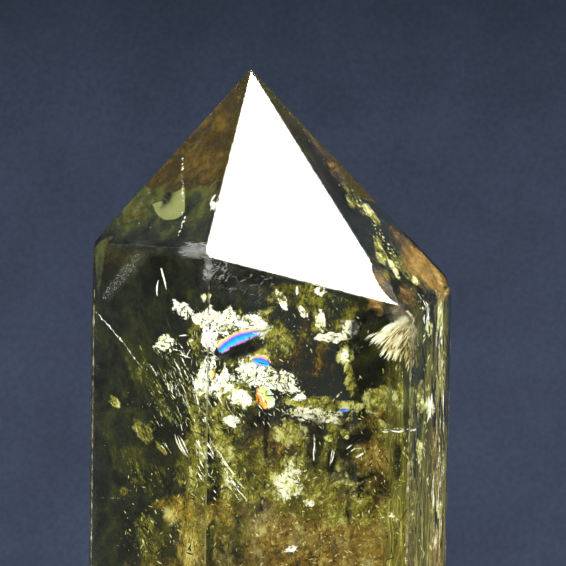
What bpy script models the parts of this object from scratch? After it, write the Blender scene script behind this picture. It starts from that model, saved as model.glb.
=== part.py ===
"""Citrine crystal point: one quartz crystal, a six-sided column under a six-faced tip, cut flat below.

The column's sides stand upright and are named by where they look: front is -Y, right is +X, up is +Z.
Every flat face is a plane, and the crystal is what is left of a block once each plane has cut it.
Its edges are worn to narrow flats, and shell-shaped chips are broken out of its corners and edges.
The origin is on the ground, under the middle of the crystal.
"""

import math

import bmesh
import bpy
from mathutils import Matrix, Vector

MM = 0.001  # the sizes below are in millimetres, and the model is in metres

# The tip, above the flat base at height 0
APEX = Vector((-2.83, 0.4, 81.6))
TIP_WEAR = 0.18  # how far below the apex the very point is rubbed off

# Column sides: the compass angle that each faces, in degrees from +X, and its distance from the axis
COLUMN_SIDES = {
    "front": (-90.0, 15.7),
    "front_right": (-30.0, 17.8),
    "back_right": (30.0, 17.4),
    "back": (90.0, 15.7),
    "back_left": (150.0, 17.8),
    "front_left": (210.0, 17.4),
}

# Tip faces: compass angle, slope in degrees from level, and how far inside the apex each plane passes
TIP_FACES = {
    "tip_front": (-78.2, 52.7, 0.0),
    "tip_right": (-34.0, 50.8, 0.0),
    "tip_back_right": (33.4, 51.0, 0.0),
    "tip_back": (93.0, 60.0, -1.3),
    "tip_back_left": (151.0, 51.0, 0.0),
    "tip_left": (206.9, 50.4, 0.0),
}

# Two slivers of faces that take the left shoulder off: three points on the side one, and the top
# one's compass angle, slope in degrees from level and a point on it
SHOULDER_SIDE = (
    Vector((-19.46, -1.09, 62.6)),
    Vector((-20.02, 0.92, 62.7)),
    Vector((-20.32, 0.4, 51.1)),
)
SHOULDER_TOP_ANGLE = 190.0
SHOULDER_TOP_SLOPE = 60.0
SHOULDER_TOP_POINT = Vector((-18.47, 0.4, 64.7))

# Worn edges: how deep below the sharp edge the narrow flat lies
COLUMN_EDGE_WEAR = 0.055
RIDGE_WEAR = 0.028
RIM_WEAR = 0.024
BASE_EDGE_WEAR = 0.45
RIGHT_SHOULDER_WEAR = 0.42

COLUMN_ORDER = tuple(COLUMN_SIDES)
TIP_ORDER = tuple(TIP_FACES)

# Chips on an edge between two faces: the faces, height, ball radius, depth and length over width
EDGE_CHIPS = {
    "ridge_chip": ("tip_front", "tip_right", 59.8, 1.7, 0.42, 2.5),
    "left_ridge_nick_high": ("tip_front", "tip_left", 74.3, 0.9, 0.05, 1.6),
    "left_ridge_nick_low": ("tip_front", "tip_left", 68.6, 1.3, 0.06, 1.8),
    "left_skyline_nick_high": ("tip_left", "tip_back_left", 78.2, 0.9, 0.12, 1.5),
    "left_skyline_nick_low": ("tip_left", "tip_back_left", 76.9, 1.0, 0.10, 1.3),
    "right_skyline_nick_high": ("tip_right", "tip_back_right", 77.9, 0.9, 0.13, 1.4),
    "right_skyline_nick_low": ("tip_right", "tip_back_right", 63.5, 1.4, 0.16, 2.0),
    "right_edge_nick_1": ("front_right", "back_right", 52.6, 2.2, 0.20, 1.7),
    "right_edge_nick_2": ("front_right", "back_right", 46.9, 1.8, 0.14, 2.2),
    "right_edge_nick_3": ("front_right", "back_right", 37.2, 3.4, 0.32, 1.8),
    "right_edge_nick_4": ("front_right", "back_right", 30.4, 2.2, 0.24, 2.4),
    "left_edge_nick": ("front_left", "back_left", 52.9, 1.3, 0.16, 1.6),
    "left_edge_nick_low": ("front_left", "back_left", 31.5, 1.8, 0.18, 2.2),
    "back_corner_chip": ("back", "back_left", 57.5, 3.0, 0.30, 1.4),
    "back_ridge_nick": ("tip_back", "tip_back_right", 66.0, 1.8, 0.16, 1.9),
    "back_edge_nick": ("back", "back_right", 38.0, 1.6, 0.12, 2.0),
}

# Chips in a column side: the side, run from its middle, height, ball radius, depth and length over width
SIDE_CHIPS = {
    "front_left_corner_chip": ("front_left", 5.6, 63.6, 1.8, 0.22, 1.5),
    "front_right_corner_chip": ("front", 10.9, 56.3, 3.0, 0.26, 1.3),
}

# Chips on the edge of the cut base: the column side, the run along it, ball radius and depth
BASE_CHIPS = {
    "base_chip_front": ("front", -6.0, 7.0, 0.95),
    "base_chip_front_right": ("front_right", 3.2, 5.0, 0.80),
    "base_chip_back": ("back", 4.5, 8.0, 1.05),
    "base_chip_back_left": ("back_left", -2.0, 5.5, 0.70),
    "base_chip_front_left": ("front_left", 4.8, 4.2, 0.85),
}

BASE_CHIP_STRETCH = 1.3

RIPPLE_SPACING = 0.9  # distance between the rings of a shell-shaped break
RIPPLE_HEIGHT = 0.018
RIPPLE_FADE = 3.0  # the rings die away over this many spacings
CHIP_RINGS = 11  # rings of a chip's ball from its bottom to just past the rim
CHIP_BACK_RINGS = 5  # steps from there round to the back of the ball
CHIP_SECTORS = 22
RIM_SHARE = 1.6  # the rim is looked for at this many depths above the bottom
RIM_MARGIN = 1.5  # and the close rings run on past it by this much of the angle

BLOCK = 120.0  # half the side of the block that the planes cut
CUT_SNAP = 1e-6  # points nearer than this to a plane count as on it
COLUMN_HEIGHT = 30.0  # a height at which every upright edge is still there
RIDGE_DROP = 4.0  # how far below the apex every ridge is still there

STONE_COLOUR = (0.52, 0.40, 0.13, 1.0)
STONE_IOR = 1.544
STONE_ROUGHNESS = 0.04
STONE_TRANSMISSION = 0.9


def compass(angle):
    """The level direction at this angle from +X."""
    turn = math.radians(angle)
    return Vector((math.cos(turn), math.sin(turn), 0.0))


def column_plane(angle, distance):
    """An upright plane as its outward normal and its distance from the origin."""
    return compass(angle), distance


def sloping(angle, slope):
    """The outward normal of a face with this compass angle and slope."""
    tilt = math.radians(slope)
    return compass(angle) * math.sin(tilt) + Vector((0.0, 0.0, math.cos(tilt)))


def tip_plane(angle, slope, below):
    """A sloping plane that passes the given distance inside the apex, or outside it where negative."""
    normal = sloping(angle, slope)
    return normal, normal.dot(APEX) - below


def plane_through(a, b, c, outward):
    """The plane through three points, facing the side that outward looks to."""
    normal = (b - a).cross(c - a).normalized()
    if normal.dot(outward) < 0:
        normal.negate()
    return normal, normal.dot(a)


def all_faces():
    """Every flat face of the crystal by name."""
    faces = {name: column_plane(*sizes) for name, sizes in COLUMN_SIDES.items()}
    faces.update({name: tip_plane(*sizes) for name, sizes in TIP_FACES.items()})
    faces["shoulder_side"] = plane_through(*SHOULDER_SIDE, outward=compass(180.0))
    top = sloping(SHOULDER_TOP_ANGLE, SHOULDER_TOP_SLOPE)
    faces["shoulder_top"] = (top, top.dot(SHOULDER_TOP_POINT))
    faces["base"] = (Vector((0.0, 0.0, -1.0)), 0.0)
    return faces


def common_point(*planes):
    """The point where three planes meet."""
    rows = Matrix([normal for normal, _ in planes])
    return rows.inverted() @ Vector([distance for _, distance in planes])


def edge_point(faces, one, other, height):
    """The point at this height on the edge between two faces, with the edge's outward direction."""
    level = (Vector((0.0, 0.0, 1.0)), height)
    outward = (faces[one][0] + faces[other][0]).normalized()
    return common_point(faces[one], faces[other], level), outward


def side_point(faces, side, run, height):
    """The point on a column side at this run from its middle and this height, with the run's direction."""
    normal, distance = faces[side]
    along = Vector((0.0, 0.0, 1.0)).cross(normal)
    return normal * distance + along * run + Vector((0.0, 0.0, height)), along


def worn_edge(faces, one, other, wear, height):
    """The plane of the narrow flat that wear leaves along an edge."""
    point, outward = edge_point(faces, one, other, height)
    return outward, outward.dot(point) - wear


def worn_planes(faces):
    """The narrow flats along the column's edges, the tip's ridges and the rims between the two."""
    planes = []
    for k, side in enumerate(COLUMN_ORDER):
        planes.append(worn_edge(faces, side, COLUMN_ORDER[k - 1], COLUMN_EDGE_WEAR, COLUMN_HEIGHT))
        bottom = (faces[side][0] + faces["base"][0]).normalized()
        planes.append((bottom, bottom.dot(faces[side][0] * faces[side][1]) - BASE_EDGE_WEAR))
        rim = (faces[side][0] + faces[TIP_ORDER[k]][0]).normalized()
        edge = common_point(faces[side], faces[TIP_ORDER[k]], (compass(COLUMN_SIDES[side][0] + 90.0), 0.0))
        planes.append((rim, rim.dot(edge) - RIM_WEAR))
        planes.append(worn_edge(faces, TIP_ORDER[k], TIP_ORDER[k - 1], RIDGE_WEAR, APEX.z - RIDGE_DROP))
    corner = common_point(faces["front_right"], faces["back_right"], faces["tip_right"])
    outward = (faces["front_right"][0] + faces["back_right"][0] + faces["tip_right"][0]).normalized()
    planes.append((outward, outward.dot(corner) - RIGHT_SHOULDER_WEAR))
    planes.append((Vector((0.0, 0.0, 1.0)), APEX.z - TIP_WEAR))
    return planes


def cut(mesh, normal, distance):
    """Takes away all that lies beyond a plane, and closes the cut with one flat face."""
    parts = mesh.verts[:] + mesh.edges[:] + mesh.faces[:]
    cut_parts = bmesh.ops.bisect_plane(
        mesh, geom=parts, dist=CUT_SNAP, plane_co=normal * distance, plane_no=normal, clear_outer=True
    )["geom_cut"]
    rim = [part for part in cut_parts if isinstance(part, bmesh.types.BMEdge)]
    if rim:
        bmesh.ops.edgeloop_fill(mesh, edges=rim)


def new_object(name, mesh):
    """Turns a mesh in millimetres into a named object in metres."""
    bmesh.ops.scale(mesh, vec=(MM, MM, MM), verts=mesh.verts)
    bmesh.ops.recalc_face_normals(mesh, faces=mesh.faces)
    data = bpy.data.meshes.new(name)
    mesh.to_mesh(data)
    mesh.free()
    made = bpy.data.objects.new(name, data)
    bpy.context.scene.collection.objects.link(made)
    return made


def crystal(faces):
    """The block cut down to the crystal's faces and worn edges."""
    mesh = bmesh.new()
    bmesh.ops.create_cube(mesh, size=2 * BLOCK)
    for normal, distance in list(faces.values()) + worn_planes(faces):
        cut(mesh, normal, distance)
    return new_object("crystal_point", mesh)


def chip_radius(radius, reach):
    """A ball's radius at a distance along its surface from the blow: rings like those on a shell."""
    fade = math.exp(-reach / (RIPPLE_FADE * RIPPLE_SPACING))
    return radius + RIPPLE_HEIGHT * fade * math.cos(2 * math.pi * reach / RIPPLE_SPACING)


def chip_cutter(name, point, outward, along, radius, depth, stretch):
    """A rippled ball that bites this deep into the crystal at a point, stretched along an edge.

    Its rings run from the pole inside the stone to just past the surface, and then close round behind.
    """
    reach = math.acos(max(-1.0, 1.0 - RIM_SHARE * depth / radius)) * RIM_MARGIN
    inner = [reach * k / CHIP_RINGS for k in range(1, CHIP_RINGS + 1)]
    outer = [reach + (math.pi - reach) * k / CHIP_BACK_RINGS for k in range(1, CHIP_BACK_RINGS)]
    mesh = bmesh.new()
    pole = mesh.verts.new((0.0, 0.0, -chip_radius(radius, 0.0)))
    rings = []
    for angle in inner + outer:
        size = chip_radius(radius, radius * angle)
        ring = []
        for k in range(CHIP_SECTORS):
            turn = 2 * math.pi * k / CHIP_SECTORS
            x = size * math.sin(angle) * math.cos(turn)
            y = size * math.sin(angle) * math.sin(turn)
            ring.append(mesh.verts.new((x, y, -size * math.cos(angle))))
        rings.append(ring)
    top = mesh.verts.new((0.0, 0.0, radius))
    for k in range(CHIP_SECTORS):
        after = (k + 1) % CHIP_SECTORS
        mesh.faces.new((pole, rings[0][k], rings[0][after]))
        mesh.faces.new((top, rings[-1][after], rings[-1][k]))
        for low, high in zip(rings, rings[1:]):
            mesh.faces.new((low[k], high[k], high[after], low[after]))
    bmesh.ops.scale(mesh, vec=(stretch, 1.0, 1.0), verts=mesh.verts)
    across = outward.cross(along).normalized()
    lengthwise = across.cross(outward)
    cutter = new_object(name, mesh)
    cutter.rotation_euler = Matrix((lengthwise, across, outward)).transposed().to_euler()
    cutter.location = (point + outward * (radius - depth)) * MM
    cutter.hide_render = True
    cutter.display_type = "WIRE"
    return cutter


def chip_cutters(faces):
    """The cutters of every chip: on the edges, in the column's sides and round the base."""
    cutters = []
    for name, (one, other, height, radius, depth, stretch) in EDGE_CHIPS.items():
        point, outward = edge_point(faces, one, other, height)
        along = faces[one][0].cross(faces[other][0])
        cutters.append(chip_cutter(name, point, outward, along, radius, depth, stretch))
    for name, (side, run, height, radius, depth, stretch) in SIDE_CHIPS.items():
        point, along = side_point(faces, side, run, height)
        cutters.append(chip_cutter(name, point, faces[side][0], along, radius, depth, stretch))
    for name, (side, run, radius, depth) in BASE_CHIPS.items():
        point, along = side_point(faces, side, run, 0.0)
        outward = (faces[side][0] + faces["base"][0]).normalized()
        cutters.append(chip_cutter(name, point, outward, along, radius, depth, BASE_CHIP_STRETCH))
    return cutters


def break_chips(stone, cutters):
    """Cuts every chip out of the stone with one Boolean."""
    group = bpy.data.collections.new("chip_cutters")
    bpy.context.scene.collection.children.link(group)
    for cutter in cutters:
        bpy.context.scene.collection.objects.unlink(cutter)
        group.objects.link(cutter)
    chips = stone.modifiers.new("chips", "BOOLEAN")
    chips.operation = "DIFFERENCE"
    chips.solver = "EXACT"
    chips.operand_type = "COLLECTION"
    chips.collection = group


def citrine():
    """Clear honey-coloured quartz."""
    material = bpy.data.materials.new("citrine")
    material.use_nodes = True
    shader = material.node_tree.nodes["Principled BSDF"]
    shader.inputs["Base Color"].default_value = STONE_COLOUR
    shader.inputs["Roughness"].default_value = STONE_ROUGHNESS
    shader.inputs["IOR"].default_value = STONE_IOR
    shader.inputs["Transmission Weight"].default_value = STONE_TRANSMISSION
    return material


def build():
    """Clears the scene and makes the crystal."""
    for old in list(bpy.data.objects):
        bpy.data.objects.remove(old)
    faces = all_faces()
    stone = crystal(faces)
    stone.data.materials.append(citrine())
    break_chips(stone, chip_cutters(faces))


build()
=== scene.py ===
"""A citrine crystal point: clear olive quartz that turns amber below, full of fractures, veils and streaks.

The stone is the solid itself in clear quartz. All that shows inside it is a sheet, a strip or a grain that
stands where a line of sight, bent by a flat face, reaches a given depth. Their glow is painted light, and
the darkest sheets paint shade. Sizes are in millimetres unless a comment says metres, and places in the
picture are in pixels of its square frame, from the top left.
"""

from __future__ import annotations

import logging
import math
from dataclasses import dataclass, field
from enum import Enum

import bpy
import numpy as np
from mathutils import Matrix, Vector


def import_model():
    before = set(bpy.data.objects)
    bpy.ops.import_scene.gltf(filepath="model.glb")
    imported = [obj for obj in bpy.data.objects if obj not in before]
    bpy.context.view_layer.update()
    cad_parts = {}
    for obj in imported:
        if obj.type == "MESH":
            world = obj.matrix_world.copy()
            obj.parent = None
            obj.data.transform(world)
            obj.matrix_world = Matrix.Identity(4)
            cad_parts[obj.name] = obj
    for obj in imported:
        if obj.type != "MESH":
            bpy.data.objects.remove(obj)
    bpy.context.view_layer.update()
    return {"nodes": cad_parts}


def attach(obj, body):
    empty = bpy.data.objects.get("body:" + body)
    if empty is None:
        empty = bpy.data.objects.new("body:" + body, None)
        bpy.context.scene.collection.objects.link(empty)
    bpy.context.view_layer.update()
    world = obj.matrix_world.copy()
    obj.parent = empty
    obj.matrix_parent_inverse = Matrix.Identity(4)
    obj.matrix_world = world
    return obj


MM = 0.001
FRAME_PIXELS = 566
QUARTZ_BENDING = 1.544
SKIN = 0.6  # inclusions stay this far below every flat face
PANE_SKIN = 0.4  # and panes this far, so that they lie behind the rest
SPILL = 1.3  # a torn sheet's grid reaches this many times past its visible size
GRAZING = 1e-6  # a line that nears a face by less than this, for each length it runs, never leaves by it
PULLS = 3  # how often a place outside the skin is moved back
TURN = 2 * math.pi

Colour = tuple[float, float, float]
Stop = tuple[float, Colour]
Span = tuple[float, float]
Pixels = tuple[float, float]
Waves = tuple[int, float]  # how many sines are added up, and how far they reach together

WAVE_SHARES: Span = (0.2, 1.0)  # how strong a sine of a sum is, by chance
WAVE_REACH = 1.4  # makes up for sines that cancel out
TRAINS = (0.5, 0.3, 0.2)  # how strong the wave trains of a rolling surface are
TRAIN_LENGTHS: Span = (0.5, 1.4)  # and how long their waves are, in crest spacings
SIDE_RIM = 0.8  # how far out the sides of a band or a fan count as lying

log = logging.getLogger("crystal_point")


# ---------------------------------------------------------------- the crystal's faces and the camera


class Side(Enum):
    """The flat faces that sight lines enter by."""

    FRONT = "front"
    RIGHT = "front_right"
    LEFT = "front_left"
    SHOULDER = "shoulder_side"
    TIP_RIGHT = "tip_right"
    TIP_LEFT = "tip_left"


@dataclass(frozen=True)
class CrystalForm:
    """The flat faces of the stone, with the same sizes as the solid.

    Each upright or shoulder face has a compass angle, a slope and a distance from the origin. Each tip face
    has a compass angle, a slope and a setback from the apex.
    """

    apex: tuple[float, float, float] = (-2.83, 0.4, 81.6)
    column: tuple[tuple[str, float, float, float], ...] = (
        ("front", -90.0, 90.0, 15.7),
        ("front_right", -30.0, 90.0, 17.8),
        ("back_right", 30.0, 90.0, 17.4),
        ("back", 90.0, 90.0, 15.7),
        ("back_left", 150.0, 90.0, 17.8),
        ("front_left", 210.0, 90.0, 17.4),
        ("shoulder_side", 195.67, 87.88, 21.334),
        ("shoulder_top", 190.0, 60.0, 48.042),
        ("base", 0.0, 180.0, 0.0),
    )
    tip: tuple[tuple[str, float, float, float], ...] = (
        ("tip_front", -78.2, 52.7, 0.0),
        ("tip_right", -34.0, 50.8, 0.0),
        ("tip_back_right", 33.4, 51.0, 0.0),
        ("tip_back", 93.0, 60.0, -1.3),
        ("tip_back_left", 151.0, 51.0, 0.0),
        ("tip_left", 206.9, 50.4, 0.0),
    )

    def number(self, name: str) -> int:
        """Where the face of this name stands in the list of planes."""
        return [face[0] for face in self.column + self.tip].index(name)

    def planes(self) -> tuple[np.ndarray, np.ndarray]:
        """Every flat face as a plane.

        A face's outward normal is (cos a sin s, sin a sin s, cos s) for its compass angle a and slope s.
        A tip face lies as far out as the apex, less its setback.

        Returns:
            The outward normals, one a row, and the planes' distances from the origin.
        """
        sizes = np.array([face[1:] for face in self.column + self.tip])
        turn, tilt = np.radians(sizes[:, :2]).T
        normals = np.stack([np.cos(turn) * np.sin(tilt), np.sin(turn) * np.sin(tilt), np.cos(tilt)], axis=1)
        to_apex = normals @ np.array(self.apex) - sizes[:, 2]
        distances = np.where(np.arange(len(sizes)) < len(self.column), sizes[:, 2], to_apex)
        return normals, distances


@dataclass(frozen=True)
class Portrait:
    """The camera: a long lens half a metre away, a little above the crystal and to its left."""

    azimuth: float = -14.25
    elevation: float = 8.0
    roll: float = 0.95
    distance: float = 500.0
    pixel: float = 0.11
    aim_right: float = 0.82
    aim_shift: float = 0.23
    aim_height: float = 58.0
    sensor: float = 36.0

    def axes(self) -> tuple[np.ndarray, np.ndarray, np.ndarray]:
        """The camera's right, up and forward directions."""
        turn, tilt, roll = (math.radians(v) for v in (self.azimuth, self.elevation, self.roll))
        level = math.cos(tilt)
        forward = np.array([-math.sin(turn) * level, math.cos(turn) * level, -math.sin(tilt)])
        right = np.array([math.cos(turn), math.sin(turn), 0.0])
        rolled = math.cos(roll) * right + math.sin(roll) * np.cross(right, forward)
        return rolled, np.cross(rolled, forward), forward

    def place(self) -> np.ndarray:
        """The camera's place."""
        turn = math.radians(self.azimuth)
        right = np.array([math.cos(turn), math.sin(turn), 0.0])
        aim = right * self.aim_right + np.array([self.aim_shift, 0.0, self.aim_height])
        return aim - self.distance * self.axes()[2]

    def rays(self, columns: np.ndarray, rows: np.ndarray) -> np.ndarray:
        """The unit directions in which the camera sees points of the picture.

        Args:
            columns: the points' columns, in pixels.
            rows: their rows, in pixels from the top.

        Returns:
            An array of directions with one more axis than the columns.
        """
        right, up, forward = self.axes()
        scale = self.pixel / self.distance
        across = (columns - FRAME_PIXELS / 2)[..., None] * scale
        down = (rows - FRAME_PIXELS / 2)[..., None] * scale
        way = forward + across * right - down * up
        return way / np.linalg.norm(way, axis=-1, keepdims=True)

    def build(self) -> None:
        """Makes the camera and gives it to the scene."""
        right, up, forward = self.axes()
        data = bpy.data.cameras.new("portrait")
        data.sensor_width = self.sensor
        data.lens = self.sensor * self.distance / (self.pixel * FRAME_PIXELS)
        camera = bpy.data.objects.new("portrait", data)
        turned = Matrix((right, up, -forward)).transposed().to_4x4()
        camera.matrix_world = Matrix.Translation(Vector(self.place()) * MM) @ turned
        bpy.context.scene.collection.objects.link(camera)
        bpy.context.scene.camera = camera


@dataclass(frozen=True)
class Window:
    """One flat face as a window: it finds the places in the stone that show at points of the picture."""

    side: Side
    form: CrystalForm = CrystalForm()
    portrait: Portrait = Portrait()

    def inside(
        self, columns: np.ndarray, rows: np.ndarray, depths: np.ndarray | float, skin: float = SKIN
    ) -> np.ndarray:
        """Follows sight lines through the face and into the stone.

        A line meets the face, bends by the law of refraction, and runs on for the depth given, or as far
        as the skin under the first face that it would leave by. Places still outside the skin are moved
        straight back under the face that they are furthest outside.

        Args:
            columns: columns of the picture, in pixels.
            rows: rows of the picture, in pixels.
            depths: how far each line runs inside the quartz.
            skin: how far below the faces it ends at the latest.

        Returns:
            The places, with one more axis than the columns.
        """
        normals, distances = self.form.planes()
        entry = self.form.number(self.side.value)
        normal, distance = normals[entry], distances[entry]
        start = self.portrait.place()
        way = self.portrait.rays(np.asarray(columns, float), np.asarray(rows, float))
        reach = (distance - start @ normal) / (way @ normal)
        entered = start + reach[..., None] * way
        facing = -(way @ normal)
        bent = np.sqrt(1 - (1 - facing**2) / QUARTZ_BENDING**2)
        inner = way / QUARTZ_BENDING + (facing / QUARTZ_BENDING - bent)[..., None] * normal
        room = (distances - skin) - entered @ normals.T
        speed = inner @ normals.T
        leaving = speed > GRAZING
        run = np.where(leaving, room / np.where(leaving, speed, 1.0), np.inf)
        run[..., entry] = np.inf
        limit = np.maximum(run.min(axis=-1), skin)
        depth = np.clip(np.broadcast_to(depths, limit.shape), skin, limit)
        places = entered + depth[..., None] * inner
        for _ in range(PULLS):
            over = places @ normals.T - (distances - skin)
            places = places - np.maximum(over.max(axis=-1), 0.0)[..., None] * normals[over.argmax(axis=-1)]
        return places


# ---------------------------------------------------------------- meshes


@dataclass
class Sheets:
    """Grids of points that are gathered and then made into one piece."""

    places: list[np.ndarray] = field(default_factory=list)
    flats: list[np.ndarray] = field(default_factory=list)
    rims: list[np.ndarray] = field(default_factory=list)
    tones: list[np.ndarray] = field(default_factory=list)
    faces: list[np.ndarray] = field(default_factory=list)
    count: int = 0

    def keep(self, places: np.ndarray, flat: np.ndarray, rim: np.ndarray, tone: np.ndarray) -> None:
        """Keeps the points of a shape, whose faces are given apart.

        Args:
            places: the points.
            flat: the shape's own two coordinates at each point.
            rim: how far out each point lies, 0 at the middle and 1 at the rim.
            tone: the brightness at each point.
        """
        self.places.append(places.reshape(-1, 3) * MM)
        self.flats.append(flat.reshape(-1, 2))
        self.rims.append(rim.reshape(-1))
        self.tones.append(tone.reshape(-1))
        self.count += rim.size

    def add(self, places: np.ndarray, flat: np.ndarray, rim: np.ndarray, tone: float | np.ndarray) -> None:
        """Adds one grid, or a stack of grids of one size.

        Args:
            places: the points, as (sheets, rows, columns, 3) or (rows, columns, 3).
            flat: the sheet's own two coordinates at each point.
            rim: how far out each point lies, 0 at the middle and 1 at the rim.
            tone: the brightness, one number or one for each point.
        """
        if places.ndim == 3:
            places, flat, rim = places[None], flat[None], rim[None]
        sheets, rows, columns = places.shape[:3]
        index = np.arange(sheets * rows * columns).reshape(sheets, rows, columns) + self.count
        corners = (index[:, :-1, :-1], index[:, :-1, 1:], index[:, 1:, 1:], index[:, 1:, :-1])
        self.faces.append(np.stack(corners, axis=-1).reshape(-1, 4))
        self.keep(places, flat, rim, np.broadcast_to(tone, rim.shape))

    def grains(self, middle: np.ndarray, size: np.ndarray, tone: np.ndarray) -> None:
        """Adds eight-sided bodies: two pyramids set base to base.

        Args:
            middle: their middles.
            size: how far each reaches along x, y and z.
            tone: the brightness of each.
        """
        points = np.array([(1, 0, 0), (0, 1, 0), (-1, 0, 0), (0, -1, 0), (0, 0, 1), (0, 0, -1)], float)
        ring = np.arange(4)
        upper = np.stack([ring, np.roll(ring, -1), np.full(4, 4)], axis=1)
        lower = np.stack([np.roll(ring, -1), ring, np.full(4, 5)], axis=1)
        starts = np.arange(len(middle)) * len(points) + self.count
        self.faces.append((starts[:, None, None] + np.concatenate([upper, lower])).reshape(-1, 3))
        places = middle[:, None, :] + points * size[:, None, :]
        self.keep(places, places[..., :2], np.zeros(places.shape[:2]), np.repeat(tone, len(points)))

    def piece(self, name: str, material: bpy.types.Material) -> bpy.types.Object:
        """Makes the piece, rides it on the stone and gives it its finish.

        Args:
            name: the piece's name.
            material: its finish.

        Returns:
            The finished object.
        """
        mesh = bpy.data.meshes.new(name)
        faces = [face for block in self.faces for face in block.tolist()]
        mesh.from_pydata(np.concatenate(self.places), [], faces)
        corners = np.concatenate([block.reshape(-1) for block in self.faces])
        layer = mesh.uv_layers.new(name="flat")
        layer.data.foreach_set("uv", np.concatenate(self.flats)[corners].reshape(-1))
        for label, values in (("rim", self.rims), ("tone", self.tones)):
            attribute = mesh.attributes.new(label, "FLOAT", "POINT")
            attribute.data.foreach_set("value", np.concatenate(values).astype(np.float32))
        mesh.shade_smooth()
        mesh.materials.append(material)
        made = bpy.data.objects.new(name, mesh)
        bpy.context.scene.collection.objects.link(made)
        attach(made, "root")
        log.info("%s: %d faces", name, len(faces))
        return made


def waves(rng: np.random.Generator, turns: np.ndarray, kind: Waves) -> np.ndarray:
    """A sum of sines of one, two, three and so on waves a turn, with chance phases and strengths.

    Args:
        rng: the source of chance.
        turns: where to work it out, in radians.
        kind: how many sines, and how far they reach together, about.

    Returns:
        The sum at each place.
    """
    count, strength = kind
    orders = np.arange(1, count + 1)
    phases = rng.uniform(0, TURN, count)
    weights = strength * rng.uniform(*WAVE_SHARES, count) * WAVE_REACH / math.sqrt(count)
    return (weights * np.sin(turns[..., None] * orders + phases)).sum(axis=-1)


def ripples(rng: np.random.Generator, across: np.ndarray, down: np.ndarray, spacing: float) -> np.ndarray:
    """A rolling surface between about -1 and 1: three crossing wave trains with chance headings.

    Args:
        rng: the source of chance.
        across: coordinates to the right.
        down: coordinates downwards.
        spacing: the distance from crest to crest, about.

    Returns:
        The height at each place.
    """
    total = np.zeros_like(across)
    for weight in TRAINS:
        heading = rng.uniform(0, np.pi)
        length = spacing * rng.uniform(*TRAIN_LENGTHS)
        along = (across * math.cos(heading) + down * math.sin(heading)) / length
        total += weight * np.sin(TURN * along + rng.uniform(0, TURN))
    return total


def disc(steps: int) -> tuple[np.ndarray, np.ndarray]:
    """A square grid (s, t) pressed round: x = s sqrt(1 - t^2/2), y = t sqrt(1 - s^2/2)."""
    s, t = np.meshgrid(np.linspace(-1, 1, steps + 1), np.linspace(-1, 1, steps + 1))
    return s * np.sqrt(1 - t**2 / 2), t * np.sqrt(1 - s**2 / 2)


def turned(across: np.ndarray, down: np.ndarray, degrees: float) -> tuple[np.ndarray, np.ndarray]:
    """Offsets in the picture turned clockwise about their start."""
    cos, sin = math.cos(math.radians(degrees)), math.sin(math.radians(degrees))
    return across * cos - down * sin, across * sin + down * cos


def blunted(share: np.ndarray, blunt: float) -> np.ndarray:
    """Half a sine wave along a strip, which starts and stops a little inside its ends."""
    return np.sin(np.pi * (blunt + (1 - 2 * blunt) * share))


class Inclusion:
    """Something inside the stone, laid where a face shows it at a place in the picture."""

    def add_to(self, sheets: Sheets, window: Window, rng: np.random.Generator) -> None:
        """Adds the inclusion to a piece.

        Args:
            sheets: what it is added to.
            window: the face that it shows through.
            rng: the source of chance.
        """
        raise NotImplementedError


@dataclass(frozen=True)
class Patch(Inclusion):
    """A ragged sheet inside the stone: a round grid stretched, pulled at its rim, rippled and leaning."""

    column: float
    row: float
    half_width: float
    half_height: float
    turn: float = 0.0
    depth: float = 8.0
    tone: float = 0.5
    lean_across: float = 0.0  # how much deeper for each pixel to the right, before the turn
    lean_down: float = 0.0
    pull: float = 0.12
    ripple: float = 0.5
    steps: int = 24
    lobes: int = 5
    crests: float = 0.45  # from crest to crest, by the two half sizes together
    least_crests: float = 4.0

    def add_to(self, sheets: Sheets, window: Window, rng: np.random.Generator) -> None:
        """Adds the sheet: its radius is pulled by waves, and its depth is a leaning plane plus ripples.

        Args:
            sheets: what the sheet is added to.
            window: the face that it shows through.
            rng: the source of chance.
        """
        x, y = disc(self.steps)
        reach = SPILL * (1 + waves(rng, np.arctan2(y, x), (self.lobes, self.pull)))
        across, down = x * reach * self.half_width, y * reach * self.half_height
        right, below = turned(across, down, self.turn)
        spacing = self.crests * (self.half_width + self.half_height) + self.least_crests
        roll = ripples(rng, across, down, spacing)
        depths = self.depth + self.lean_across * across + self.lean_down * down + self.ripple * roll
        flat = np.stack([across, down], axis=-1) * window.portrait.pixel
        places = window.inside(self.column + right, self.row + below, depths)
        sheets.add(places, flat, np.hypot(x, y), self.tone)


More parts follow.
